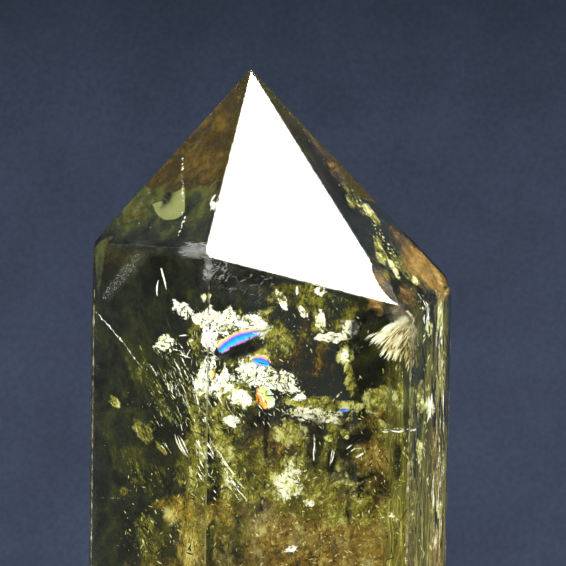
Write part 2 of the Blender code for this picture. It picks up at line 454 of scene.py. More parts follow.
@dataclass(frozen=True)
class Streaks(Inclusion):
    """A swarm of thin pointed strips that run one way, as where a fracture is seen edge on."""

    column: float
    row: float
    half_width: float
    half_height: float
    turn: float
    heading: float  # degrees clockwise from straight right
    count: int
    length: Span = (6.0, 18.0)
    width: Span = (0.5, 1.2)
    tone: Span = (0.3, 0.8)
    depth: Span = (4.0, 10.0)
    fan: float = 6.0  # how far headings spread, in degrees
    bow: float = 0.05
    steps: int = 6
    slant: float = 0.06  # how much deeper they run for each pixel along them
    blunt: float = 0.04
    thinning: float = 0.35  # how far out their ends count as lying

    def add_to(self, sheets: Sheets, window: Window, rng: np.random.Generator) -> None:
        """Adds the strips.

        Each strip follows a bowed line through its middle. Its width is the sine of the way along it, so
        it is pointed at both ends.

        Args:
            sheets: what the strips are added to.
            window: the face that they show through.
            rng: the source of chance.
        """
        a, b = rng.uniform(-1, 1, (2, self.count))
        right, below = turned(a * self.half_width, b * self.half_height, self.turn)
        way = np.radians(self.heading + rng.normal(0, 0.5, self.count) * self.fan)[:, None, None]
        length = rng.uniform(*self.length, self.count)[:, None, None]
        width = rng.uniform(*self.width, self.count)[:, None, None]
        bow = rng.normal(0, self.bow, self.count)[:, None, None] * length
        depth = rng.uniform(*self.depth, self.count)[:, None, None]
        slant = rng.normal(0, self.slant, self.count)[:, None, None]
        tone = rng.uniform(*self.tone, self.count)[:, None, None]
        share = np.linspace(0, 1, self.steps + 1)[None, :, None]
        reach = (share - 0.5) * length
        swell = blunted(share, self.blunt) * width
        offset = bow * (1 - (2 * share - 1) ** 2) + np.array([-0.5, 0.5])[None, None, :] * swell
        columns = self.column + right[:, None, None] + reach * np.cos(way) - offset * np.sin(way)
        rows = self.row + below[:, None, None] + reach * np.sin(way) + offset * np.cos(way)
        flat = np.stack(np.broadcast_arrays(reach, offset), axis=-1) * window.portrait.pixel
        rim = np.broadcast_to(np.abs(2 * share - 1) * self.thinning, columns.shape)
        places = window.inside(columns, rows, depth + slant * reach)
        sheets.add(places, flat, rim, np.broadcast_to(tone, columns.shape))


@dataclass(frozen=True)
class Crack(Inclusion):
    """A bright line along a chain of points, thick and thin by turns."""

    route: tuple[Pixels, ...]
    width: float
    tone: float
    depth: float = 1.5
    steps: int = 60
    wander: Waves = (14, 0.45)
    swell: Waves = (12, 0.5)
    girth: float = 0.55  # its mean width, and its least and most
    girths: Span = (0.12, 1.6)
    blunt: float = 0.03
    taper: float = 0.4
    flicker: Waves = (24, 0.34)

    def add_to(self, sheets: Sheets, window: Window, rng: np.random.Generator) -> None:
        """Adds the crack.

        The route is drawn straight from point to point and roughened sideways by waves. The width swells
        and shrinks with waves and comes to a point at both ends.

        Args:
            sheets: what the crack is added to.
            window: the face that it shows through.
            rng: the source of chance.
        """
        points = np.array(self.route)
        marks = np.concatenate([[0.0], np.cumsum(np.hypot(*np.diff(points, axis=0).T))])
        along = np.linspace(0, marks[-1], self.steps + 1)
        column, row = np.interp(along, marks, points[:, 0]), np.interp(along, marks, points[:, 1])
        way = np.arctan2(np.gradient(row), np.gradient(column))[:, None]
        share = along / marks[-1]
        wander = waves(rng, share * TURN, self.wander)
        swell = np.clip(self.girth + waves(rng, share * TURN, self.swell), *self.girths)
        half = self.width / 2 * swell * blunted(share, self.blunt) ** self.taper
        offset = wander[:, None] + np.array([-1.0, 0.0, 1.0]) * half[:, None]
        columns = column[:, None] - offset * np.sin(way)
        rows = row[:, None] + offset * np.cos(way)
        flat = np.stack([np.broadcast_to(along[:, None], columns.shape), offset], axis=-1)
        tone = (self.tone + waves(rng, share * TURN, self.flicker))[:, None]
        places = window.inside(columns, rows, self.depth)
        sheets.add(places, flat * window.portrait.pixel, np.zeros_like(columns), tone)


@dataclass(frozen=True)
class Film(Inclusion):
    """A band along a bowed route, whose tone runs from 0 on one side to 1 on the other."""

    route: tuple[Pixels, ...]
    width: float
    depth: float
    flip: bool = False
    steps: int = 40
    levels: int = 9
    ends: float = 0.25  # how wide its ends are
    swell: Waves = (8, 0.06)
    ripple: float = 0.15
    crests: float = 14.0

    def add_to(self, sheets: Sheets, window: Window, rng: np.random.Generator) -> None:
        """Adds the band.

        The route is the curve of least degree through the points. The band is widest in the middle and
        closes to a quarter at the ends.

        Args:
            sheets: what the band is added to.
            window: the face that it shows through.
            rng: the source of chance.
        """
        points = np.array(self.route)
        share = np.linspace(0, 1, self.steps + 1)
        knots = np.linspace(0, 1, len(points))
        column, row = (np.polyval(np.polyfit(knots, points[:, k], len(points) - 1), share) for k in (0, 1))
        way = np.arctan2(np.gradient(row), np.gradient(column))[:, None]
        level = np.linspace(-1, 1, self.levels)
        bulge = np.sin(np.pi * share) ** 0.5
        girth = self.ends + (1 - self.ends) * bulge + waves(rng, share * TURN, self.swell)
        offset = level * girth[:, None] * self.width / 2
        columns = column[:, None] - offset * np.sin(way)
        rows = row[:, None] + offset * np.cos(way)
        depths = self.depth + self.ripple * ripples(rng, columns, rows, self.crests)
        flat = np.stack([np.broadcast_to(share[:, None], columns.shape), offset], axis=-1)
        rim = np.maximum(np.abs(2 * share - 1)[:, None] ** 3, np.abs(level) ** 4 * SIDE_RIM)
        tone = np.broadcast_to((1 - level if self.flip else 1 + level) / 2, columns.shape)
        sheets.add(window.inside(columns, rows, depths), flat, rim, tone)


@dataclass(frozen=True)
class Fan(Inclusion):
    """A shell-like break: a sheet swept round from where the blow fell, ribbed and torn at its far edge."""

    column: float
    row: float
    start: float  # headings, in degrees clockwise from straight right
    stop: float
    near: float
    far: float
    depth: float
    tone: float
    rib: float = 0.25
    steps: int = 64
    levels: int = 17
    turns: int = 2  # how often its torn edge repeats round the sweep
    tear: Waves = (9, 0.05)
    ribs: Span = (40.0, 3.0)  # radians of the ribs' wave from side to side, and from root to edge
    dish: float = 0.8
    shades: Colour = (0.14, 0.40, 0.10)  # darker by this, brighter by this at the end, and darker at the root

    def add_to(self, sheets: Sheets, window: Window, rng: np.random.Generator) -> None:
        """Adds the sheet: the reach grows with waves round the sweep, and ribs roll its depth.

        Args:
            sheets: what the sheet is added to.
            window: the face that it shows through.
            rng: the source of chance.
        """
        across, out = np.linspace(0, 1, self.steps + 1), np.linspace(0, 1, self.levels)
        sweep, share = np.meshgrid(across, out, indexing="ij")
        heading = np.radians(self.start + (self.stop - self.start) * sweep)
        edge = self.far * (1 + waves(rng, sweep * self.turns * TURN, self.tear)) - self.near
        reach = self.near + edge * share
        columns = self.column + reach * np.cos(heading)
        rows = self.row + reach * np.sin(heading)
        ribs = np.sin(sweep * self.ribs[0] + self.ribs[1] * share)
        depths = self.depth + self.rib * ribs * share + self.dish * (1 - share)
        rim = np.maximum(share**3, np.abs(2 * sweep - 1) ** 4 * SIDE_RIM)
        tone = self.tone - self.shades[0] + self.shades[1] * sweep - self.shades[2] * (1 - share)
        sheets.add(window.inside(columns, rows, depths), np.stack([sweep, share], axis=-1), rim, tone)


@dataclass(frozen=True)
class Pane(Inclusion):
    """A flat sheet with an outline of its own, whose tone changes from row to row of the picture."""

    outline: tuple[Pixels, ...]
    depth: float
    shades: tuple[Span, ...]  # rows and the tones there
    steps: int = 40
    cuts: int = 8  # into how many lengths each side of the outline is cut
    ripple: float = 0.1
    crests: float = 20.0

    def add_to(self, sheets: Sheets, window: Window, rng: np.random.Generator) -> None:
        """Adds the sheet: a round grid whose reach in each direction is read off the outline.

        Each side of the outline is first cut into short lengths, so that it stays straight.

        Args:
            sheets: what the sheet is added to.
            window: the face that it shows through.
            rng: the source of chance.
        """
        corners = np.array(self.outline)
        middle = corners.mean(axis=0)
        share = np.linspace(0, 1, self.cuts + 1)[:-1, None, None]
        points = (corners * (1 - share) + np.roll(corners, -1, axis=0) * share).reshape(-1, 2)
        angles = np.arctan2(*(points - middle).T[::-1])
        order = np.argsort(angles)
        reach = np.hypot(*(points - middle).T)[order]
        x, y = disc(self.steps)
        edge = np.interp(np.arctan2(y, x), angles[order], reach, period=TURN)
        columns, rows = middle[0] + x * edge, middle[1] + y * edge
        depths = self.depth + self.ripple * ripples(rng, columns, rows, self.crests)
        flat = np.stack([x, y], axis=-1)
        tone = np.interp(rows, *np.array(self.shades).T)
        sheets.add(window.inside(columns, rows, depths, PANE_SKIN), flat, np.hypot(x, y), tone)


@dataclass(frozen=True)
class Specks(Inclusion):
    """Small bright grains, each stretched by chance."""

    column: float
    row: float
    half_width: float
    half_height: float
    turn: float
    count: int
    size: Span = (0.03, 0.08)  # half across
    tone: Span = (0.3, 1.0)
    depth: Span = (2.0, 12.0)
    stretch: Span = (0.6, 1.4)

    def add_to(self, sheets: Sheets, window: Window, rng: np.random.Generator) -> None:
        """Adds the grains, spread evenly over an ellipse.

        Args:
            sheets: what the grains are added to.
            window: the face that they show through.
            rng: the source of chance.
        """
        reach = np.sqrt(rng.uniform(0, 1, self.count))
        angle = rng.uniform(0, TURN, self.count)
        across, down = reach * np.cos(angle) * self.half_width, reach * np.sin(angle) * self.half_height
        right, below = turned(across, down, self.turn)
        middle = window.inside(self.column + right, self.row + below, rng.uniform(*self.depth, self.count))
        size = rng.uniform(*self.size, self.count)[:, None] * rng.uniform(*self.stretch, (self.count, 3))
        sheets.grains(middle, size, rng.uniform(*self.tone, self.count))


@dataclass(frozen=True)
class EdgeLine(Inclusion):
    """The thin line just under a worn edge: whitish bruising, and a painted highlight along the edge."""

    one: str  # the faces that meet in the edge
    other: str
    low: float  # heights
    high: float
    tone: float = 0.5
    width: float = 0.16
    inset: float = 0.16
    steps: int = 240
    swell: Waves = (40, 0.5)
    girth: float = 0.7  # its mean width, and its least and most
    girths: Span = (0.15, 1.6)
    flicker: Waves = (60, 0.12)

    def add_to(self, sheets: Sheets, window: Window, rng: np.random.Generator) -> None:
        """Adds the strip.

        It runs along the line where the two planes meet, set back towards the middle of the stone, and
        lies across the way that the edge looks. Its width swells and shrinks with waves.

        Args:
            sheets: what the strip is added to.
            window: any face of the stone, for the planes.
            rng: the source of chance.
        """
        normals, distances = window.form.planes()
        pair = [window.form.number(self.one), window.form.number(self.other)]
        outward = normals[pair].sum(axis=0)
        outward /= np.linalg.norm(outward)
        system = np.array([*normals[pair], (0.0, 0.0, 1.0)])
        heights = (self.low, self.high)
        ends = np.array([np.linalg.solve(system, [*distances[pair], height]) for height in heights])
        share = np.linspace(0, 1, self.steps + 1)
        swell = np.clip(self.girth + waves(rng, share * TURN, self.swell), *self.girths)
        across = np.cross(outward, ends[1] - ends[0])
        across /= np.linalg.norm(across)
        centre = ends[0] + share[:, None] * (ends[1] - ends[0]) - self.inset * outward
        level = np.array([-0.5, 0.5])[None, :, None]
        places = centre[:, None, :] + level * self.width * swell[:, None, None] * across
        flat = np.stack(np.broadcast_arrays(share[:, None], level[..., 0]), axis=-1)
        tone = self.tone + waves(rng, share * TURN, self.flicker)[:, None]
        sheets.add(places, flat, np.zeros(places.shape[:2]), tone)


# ---------------------------------------------------------------- finishes

WIDE: Span = (0.25, 0.75)  # the ranges of noise that are spread out to 0 and 1
NARROW: Span = (0.3, 0.7)


class Bench:
    """The node tree of a material or a world, with short ways to add and join nodes."""

    def __init__(self, owner: bpy.types.Material | bpy.types.World) -> None:
        """Starts on the tree of a new material or world."""
        owner.use_nodes = True
        self.owner = owner
        self.tree = owner.node_tree
        self.shader = self.tree.nodes.get("Principled BSDF")
        self.output = self.tree.nodes.get("Material Output")

    def add(self, kind: str, inputs: dict[str | int, object], **options: object) -> bpy.types.Node:
        """Adds a node.

        Args:
            kind: the node's type, without its ShaderNode prefix.
            inputs: values or sockets for its inputs, by name or number.
            options: its other settings.

        Returns:
            The node.
        """
        node = self.tree.nodes.new("ShaderNode" + kind)
        for key, value in options.items():
            setattr(node, key, value)
        self.feed(node, inputs)
        return node

    def feed(self, node: bpy.types.Node, inputs: dict[str | int, object]) -> None:
        """Sets a node's inputs to values, or joins them to sockets."""
        for key, value in inputs.items():
            if isinstance(value, bpy.types.NodeSocket):
                self.tree.links.new(value, node.inputs[key])
            else:
                node.inputs[key].default_value = value

    def math(self, operation: str, *values: object) -> bpy.types.NodeSocket:
        """The result of a sum, product or other operation on numbers."""
        return self.add("Math", dict(enumerate(values)), operation=operation).outputs[0]

    def span(self, value: object, low: float, high: float, start: float = 0.0, stop: float = 1.0) -> object:
        """A number moved from the range low to high into the range start to stop, and kept inside it."""
        return self.add("MapRange", {"Value": value, 1: low, 2: high, 3: start, 4: stop}).outputs[0]

    def place(self) -> bpy.types.NodeSocket:
        """The place on the object, in metres."""
        return self.add("TexCoord", {}).outputs["Object"]

    def carried(self, label: str) -> bpy.types.NodeSocket:
        """A number that the mesh carries at each point."""
        return self.add("Attribute", {}, attribute_name=label).outputs["Fac"]

    def noise(
        self, at: object, scale: float, detail: float, rough: float, bend: float = 0.0
    ) -> bpy.types.Node:
        """Cloudy noise.

        Args:
            at: the place that it is worked out for.
            scale: how many features there are in a metre.
            detail: how many times finer noise is laid over it.
            rough: how strong the finer noise is.
            bend: how far it is bent by itself.

        Returns:
            The noise node.
        """
        inputs = {"Vector": at, "Scale": scale, "Detail": detail, "Roughness": rough, "Distortion": bend}
        return self.add("TexNoise", inputs)

    def ramp(self, value: object, stops: tuple[Stop, ...]) -> bpy.types.NodeSocket:
        """A colour picked by a number, blended between the stops."""
        node = self.add("ValToRGB", {"Fac": value})
        elements = node.color_ramp.elements
        while len(elements) < len(stops):
            elements.new(1.0)
        for element, (at, colour) in zip(elements, stops):
            element.position = at
            element.color = (*colour, 1.0)
        return node.outputs["Color"]

    def lit(self, colour: object, glow: float, rough: float, alpha: object) -> bpy.types.Material:
        """Dresses the surface in a colour that glows too: painted light, for the light that a break catches.

        Args:
            colour: the colour's socket.
            glow: how much it glows, as painted light.
            rough: how rough it is.
            alpha: how solid it is.

        Returns:
            The finished material.
        """
        inputs = {"Base Color": colour, "Roughness": rough, "Emission Color": colour}
        # Emission Strength: painted light, the colour glows by the glow
        self.feed(self.shader, {**inputs, "Emission Strength": glow, "Alpha": alpha})
        return self.owner


@dataclass(frozen=True)
class ClearQuartz:
    """Clear quartz: it bends light, and takes blue and some red out of what crosses it.

    The flat faces are polished. Chips, worn edges and bruises are frosted, which is found by how far the
    surface turns from every flat face.
    """

    tint: Colour = (0.75, 0.725, 0.47)
    density: float = 80.0
    frost: Span = (0.15, 0.42)
    polished_within: float = 0.9995  # the cosine beyond which a surface counts as a flat face
    fine_grain: Colour = (2600.0, 8.0, 0.7)  # scale, detail and roughness of the noise
    coarse_grain: Colour = (700.0, 4.0, 0.6)
    bump: Span = (0.5, 0.0002)  # strength and distance

    def material(self, form: CrystalForm) -> bpy.types.Material:
        """Makes the finish.

        Args:
            form: the stone's flat faces.

        Returns:
            The material.
        """
        bench = Bench(bpy.data.materials.new("clear_quartz"))
        normal = bench.add("NewGeometry", {}).outputs["True Normal"]
        flat: object = 0.0
        for face in form.planes()[0]:
            dot = bench.add("VectorMath", {0: normal, 1: tuple(face)}, operation="DOT_PRODUCT")
            flat = bench.math("MAXIMUM", flat, dot.outputs["Value"])
        broken = bench.math("LESS_THAN", flat, self.polished_within)
        grain = bench.noise(bench.place(), *self.fine_grain)
        coarse = bench.noise(bench.place(), *self.coarse_grain)
        rough = bench.math("MULTIPLY", broken, bench.span(coarse.outputs[0], *NARROW, *self.frost))
        height = bench.math("MULTIPLY", grain.outputs[0], broken)
        bump = bench.add("Bump", {"Height": height, "Strength": self.bump[0], "Distance": self.bump[1]})
        glass = {"Base Color": (1.0, 1.0, 1.0, 1.0), "IOR": QUARTZ_BENDING, "Transmission Weight": 1.0}
        bench.feed(bench.shader, {**glass, "Roughness": rough, "Normal": bump.outputs[0]})
        lamp_ray = bench.add("LightPath", {}).outputs["Is Shadow Ray"]
        passed = bench.add("BsdfTransparent", {}).outputs[0]
        mixed = bench.add("MixShader", {0: lamp_ray, 1: bench.shader.outputs[0], 2: passed})
        volume = bench.add("VolumeAbsorption", {"Color": (*self.tint, 1.0), "Density": self.density})
        bench.feed(bench.output, {"Surface": mixed.outputs[0], "Volume": volume.outputs[0]})
        return bench.owner


@dataclass(frozen=True)
class VeilFinish:
    """A sheet inside the stone, where light catches on a break, shown by a painted glow.

    Its brightness is the tone that the mesh carries, plus a broad cloud, a fine swirl, flat shards and thin
    bright veins, less thin dark cracks. The colour and how solid it looks both follow from it. The rim is
    torn back by coarse noise, like a coastline.
    """

    name: str
    stops: tuple[Stop, ...]
    # painted light: how strongly the colour glows
    glow: float = 0.8
    cloud: Span = (0.50, 420.0)  # share of the brightness, and features in a metre
    swirl: Span = (0.35, 1500.0)
    shard: Span = (0.15, 1900.0)
    vein: float = 0.0
    crack: float = 0.25
    see_through: Span = (0.30, 0.52)  # brightness at which it is least solid, and most
    cover: Span = (0.1, 1.0)  # how solid it is there
    coast: Span = (1.6, 800.0)  # how far the rim is torn back, and bays in a metre
    fade: float = 0.15  # the share of the radius over which the rim thins out
    grain: Colour = (0.0, 0.0, 1.0)  # the way that features are drawn out
    stretch: float = 1.0
    warp: float = 0.0006  # how far the swirl bends the shards, in metres
    line_scale: float = 0.6  # scale of the cracks and veins, by the swirl's
    vein_width: float = 0.02
    crack_width: float = 0.045
    shore: float = 0.6  # the coarse noise at which the rim isn't torn back
    rough: float = 0.55

    def material(self) -> bpy.types.Material:
        """Makes the finish."""
        bench = Bench(bpy.data.materials.new(self.name))
        along = Vector((0.0, 0.0, 1.0)).rotation_difference(Vector(self.grain)).to_euler()
        drawn = {"Vector": bench.place(), "Rotation": along, "Scale": (1.0, 1.0, self.stretch)}
        place = bench.add("Mapping", drawn, vector_type="TEXTURE").outputs[0]
        cloud = bench.noise(place, self.cloud[1], 3.0, 0.5, 0.8)
        swirl = bench.noise(place, self.swirl[1], 6.0, 0.62, 1.6)
        bent = bench.add("VectorMath", {0: swirl.outputs["Color"], "Scale": self.warp}, operation="SCALE")
        moved = bench.add("VectorMath", {0: place, 1: bent.outputs[0]}, operation="ADD").outputs[0]
        shards = bench.add("TexVoronoi", {"Vector": moved, "Scale": self.shard[1]})
        shard = bench.add("SeparateColor", {0: shards.outputs["Color"]}).outputs[0]
        lines = bench.noise(moved, self.swirl[1] * self.line_scale, 3.0, 0.55, 0.6)
        parts = bench.add("SeparateColor", {0: lines.outputs["Color"]})
        crack, vein = (bench.math("ABSOLUTE", bench.math("SUBTRACT", parts.outputs[k], 0.5)) for k in (0, 1))
        value = bench.math("SUBTRACT", bench.carried("tone"), 0.5)
        for source, share in (
            (bench.span(cloud.outputs[0], *WIDE), self.cloud[0]),
            (bench.span(swirl.outputs[0], *WIDE), self.swirl[0]),
            (shard, self.shard[0]),
            (bench.span(vein, 0.0, self.vein_width, 1.0, 0.0), self.vein),
            (bench.span(crack, 0.0, self.crack_width, 1.0, 0.0), -self.crack),
        ):
            value = bench.math("ADD", value, bench.math("MULTIPLY", source, share))
        coast = bench.noise(bench.place(), self.coast[1], 8.0, 0.66, 0.4)
        bay = bench.math("MULTIPLY", bench.math("SUBTRACT", coast.outputs[0], self.shore), self.coast[0])
        inner = bench.math("SUBTRACT", 1.0, bench.carried("rim"))
        kept = bench.span(bench.math("ADD", inner, bay), 0.0, self.fade)
        solid = bench.span(value, *self.see_through, *self.cover)
        alpha = bench.math("MULTIPLY", kept, solid)
        return bench.lit(bench.ramp(value, self.stops), self.glow, self.rough, alpha)


@dataclass(frozen=True)
class FilmFinish:
    """A thin film in a fracture: bands of spectral colour across it, by the tone that the mesh carries."""

    name: str
    bands: tuple[Stop, ...]
    # painted light: how strongly the colour glows
    glow: float = 1.1
    wobble: float = 0.30
    shore: float = 0.54  # the fine noise at which the rim isn't torn back, and how far it is torn
    tear: float = 3.6

    def material(self) -> bpy.types.Material:
        """Makes the finish."""
        bench = Bench(bpy.data.materials.new(self.name))
        drift = bench.noise(bench.place(), 900.0, 5.0, 0.6)
        shift = bench.math("MULTIPLY", bench.math("SUBTRACT", drift.outputs[0], 0.5), self.wobble)
        colour = bench.ramp(bench.math("ADD", bench.carried("tone"), shift), self.bands)
        inner = bench.math("SUBTRACT", 1.0, bench.carried("rim"))
        fine = bench.noise(bench.place(), 1300.0, 6.0, 0.7)
        bay = bench.math("MULTIPLY", bench.math("SUBTRACT", fine.outputs[0], self.shore), self.tear)
        return bench.lit(colour, self.glow, 0.3, bench.span(bench.math("ADD", inner, bay), 0.0, 0.3))


@dataclass(frozen=True)
class FanFinish:
    """The shell-like break: cream ribs with brown grooves that run out from where the blow fell."""

    name: str
    stops: tuple[Stop, ...]
    ribs: Colour = (12.0, 3.4, 1.0)  # features across the ribs and along them
    # painted light: how strongly the colour glows
    glow: float = 0.5
    shore: float = 0.62  # the noise at which the rim isn't torn back, and how far it is torn
    tear: float = 2.6

    def material(self) -> bpy.types.Material:
        """Makes the finish: noise that is stretched along the ribs, on the sheet's own coordinates."""
        bench = Bench(bpy.data.materials.new(self.name))
        flat = bench.add("UVMap", {}, uv_map="flat").outputs[0]
        drawn = bench.add("Mapping", {"Vector": flat, "Scale": self.ribs}).outputs[0]
        ribs = bench.noise(drawn, 1.0, 6.0, 0.66, 0.9).outputs[0]
        lift = bench.math("SUBTRACT", bench.carried("tone"), 0.5)
        value = bench.math("ADD", bench.span(ribs, *NARROW), lift)
        inner = bench.math("SUBTRACT", 1.0, bench.carried("rim"))
        bay = bench.math("MULTIPLY", bench.math("SUBTRACT", ribs, self.shore), self.tear)
        torn = bench.math("ADD", inner, bay)
        solid = bench.span(value, 0.2, 0.6, 0.25, 1.0)
        bump = bench.add("Bump", {"Height": ribs, "Strength": 0.6, "Distance": 0.0004})
        bench.feed(bench.shader, {"Normal": bump.outputs[0]})
        alpha = bench.math("MULTIPLY", bench.span(torn, 0.0, 0.12), solid)
        return bench.lit(bench.ramp(value, self.stops), self.glow, 0.4, alpha)


@dataclass(frozen=True)
class PocketFinish:
    """A flat pocket filled with pale yellow-green, cloudy at its rim."""

    name: str
    stops: tuple[Stop, ...]
    # painted light: how strongly the colour glows
    glow: float = 0.35

    def material(self) -> bpy.types.Material:
        """Makes the finish."""
        bench = Bench(bpy.data.materials.new(self.name))
        cloud = bench.noise(bench.place(), 500.0, 4.0, 0.55)
        inner = bench.math("SUBTRACT", 1.0, bench.carried("rim"))
        colour = bench.ramp(bench.span(cloud.outputs[0], *NARROW), self.stops)
        return bench.lit(colour, self.glow, 0.5, bench.span(inner, 0.0, 0.06, 0.0, 0.94))


# The white ramp: the whitish colour of frosted breaks, and a painted reflection of the lamps at its white
# end.
WHITE_STOPS: tuple[Stop, ...] = (
    (0.00, (0.012, 0.018, 0.010)),
    (0.26, (0.05, 0.07, 0.03)),
    (0.40, (0.26, 0.31, 0.09)),
    (0.50, (0.74, 0.79, 0.44)),
    (0.60, (1.0, 1.0, 1.0)),
)
# In the green, amber, gold, rust and olive ramps the near-white top stop is a painted highlight.
GREEN_STOPS: tuple[Stop, ...] = (
    (0.00, (0.010, 0.016, 0.007)),
    (0.34, (0.045, 0.062, 0.018)),
    (0.54, (0.190, 0.180, 0.030)),
    (0.70, (0.48, 0.46, 0.065)),
    (0.82, (0.97, 1.0, 0.55)),
)
AMBER_STOPS: tuple[Stop, ...] = (
    (0.00, (0.025, 0.016, 0.006)),
    (0.32, (0.10, 0.065, 0.017)),
    (0.50, (0.34, 0.210, 0.046)),
    (0.66, (0.56, 0.40, 0.10)),
    (0.80, (1.0, 0.92, 0.48)),
)
GOLD_STOPS: tuple[Stop, ...] = (
    (0.00, (0.020, 0.014, 0.003)),
    (0.32, (0.095, 0.074, 0.014)),
    (0.50, (0.33, 0.245, 0.030)),
    (0.66, (0.66, 0.50, 0.075)),
    (0.80, (1.0, 0.95, 0.42)),
)
RUST_STOPS: tuple[Stop, ...] = (
    (0.00, (0.020, 0.012, 0.004)),
    (0.32, (0.090, 0.052, 0.012)),
    (0.50, (0.30, 0.165, 0.030)),
    (0.66, (0.50, 0.30, 0.055)),
    (0.80, (0.90, 0.74, 0.32)),
)
# The stone's olive and amber, also painting shade in the dark stops and the bright floor in the amber end.
SHADE_STOPS: tuple[Stop, ...] = (
    (0.10, (0.006, 0.008, 0.006)),
    (0.25, (0.020, 0.026, 0.017)),
    (0.40, (0.053, 0.063, 0.018)),
    (0.52, (0.120, 0.132, 0.022)),
    (0.62, (0.078, 0.053, 0.006)),
    (0.72, (0.027, 0.017, 0.001)),
    (0.84, (0.073, 0.044, 0.002)),
    (1.00, (0.18, 0.110, 0.008)),
)
OLIVE_STOPS: tuple[Stop, ...] = (
    (0.00, (0.020, 0.028, 0.007)),
    (0.36, (0.088, 0.094, 0.020)),
    (0.54, (0.26, 0.24, 0.044)),
    (0.70, (0.56, 0.51, 0.11)),
    (0.86, (1.0, 1.0, 0.62)),
)
# Painted shade: near-black sheets put where the view through the stone is dark.
PAINTED_SHADE_STOPS: tuple[Stop, ...] = (
    (0.00, (0.006, 0.007, 0.005)),
    (0.60, (0.018, 0.019, 0.012)),
    (0.95, (0.06, 0.06, 0.03)),
)
HAZE_STOPS: tuple[Stop, ...] = (
    (0.00, (0.10, 0.11, 0.10)),
    (0.60, (0.30, 0.32, 0.30)),
    (0.90, (0.9, 0.9, 0.88)),
)
# The bruised edges: whitish bruising, and painted highlights where the edges catch the light.
WEAR_AND_HIGHLIGHT_STOPS: tuple[Stop, ...] = (
    (0.00, (0.05, 0.035, 0.012)),
    (0.40, (0.20, 0.16, 0.07)),
    (0.62, (0.45, 0.42, 0.22)),
    (0.85, (1.0, 1.0, 0.85)),
)
SKY_BANDS: tuple[Stop, ...] = (
    (0.00, (1.0, 0.95, 0.55)),
    (0.16, (0.95, 0.55, 0.12)),
    (0.26, (0.65, 0.25, 0.80)),
    (0.38, (0.04, 0.16, 0.95)),
    (0.58, (0.02, 0.42, 1.0)),
    (0.76, (0.05, 0.60, 1.0)),
    (0.90, (0.50, 0.20, 0.85)),
    (1.00, (0.60, 0.15, 0.50)),
)
SUNSET_BANDS: tuple[Stop, ...] = (
    (0.00, (0.50, 0.16, 0.03)),
    (0.25, (0.95, 0.48, 0.10)),
    (0.45, (1.0, 0.84, 0.28)),
    (0.68, (0.62, 0.82, 0.26)),
    (0.85, (0.62, 0.86, 0.62)),
    (1.00, (0.95, 1.0, 0.9)),
)
FAN_STOPS: tuple[Stop, ...] = (
    (0.00, (0.06, 0.035, 0.010)),
    (0.36, (0.30, 0.20, 0.060)),
    (0.50, (0.64, 0.55, 0.25)),
    (0.64, (0.95, 0.92, 0.58)),
    (0.85, (1.0, 1.0, 0.86)),
)
POCKET_STOPS: tuple[Stop, ...] = (
    (0.0, (0.30, 0.33, 0.10)),
    (1.0, (0.46, 0.50, 0.19)),
)
DOWN_LEFT_SIDE: Colour = (0.34, -0.58, -0.88)  # down the front left side and towards its right edge


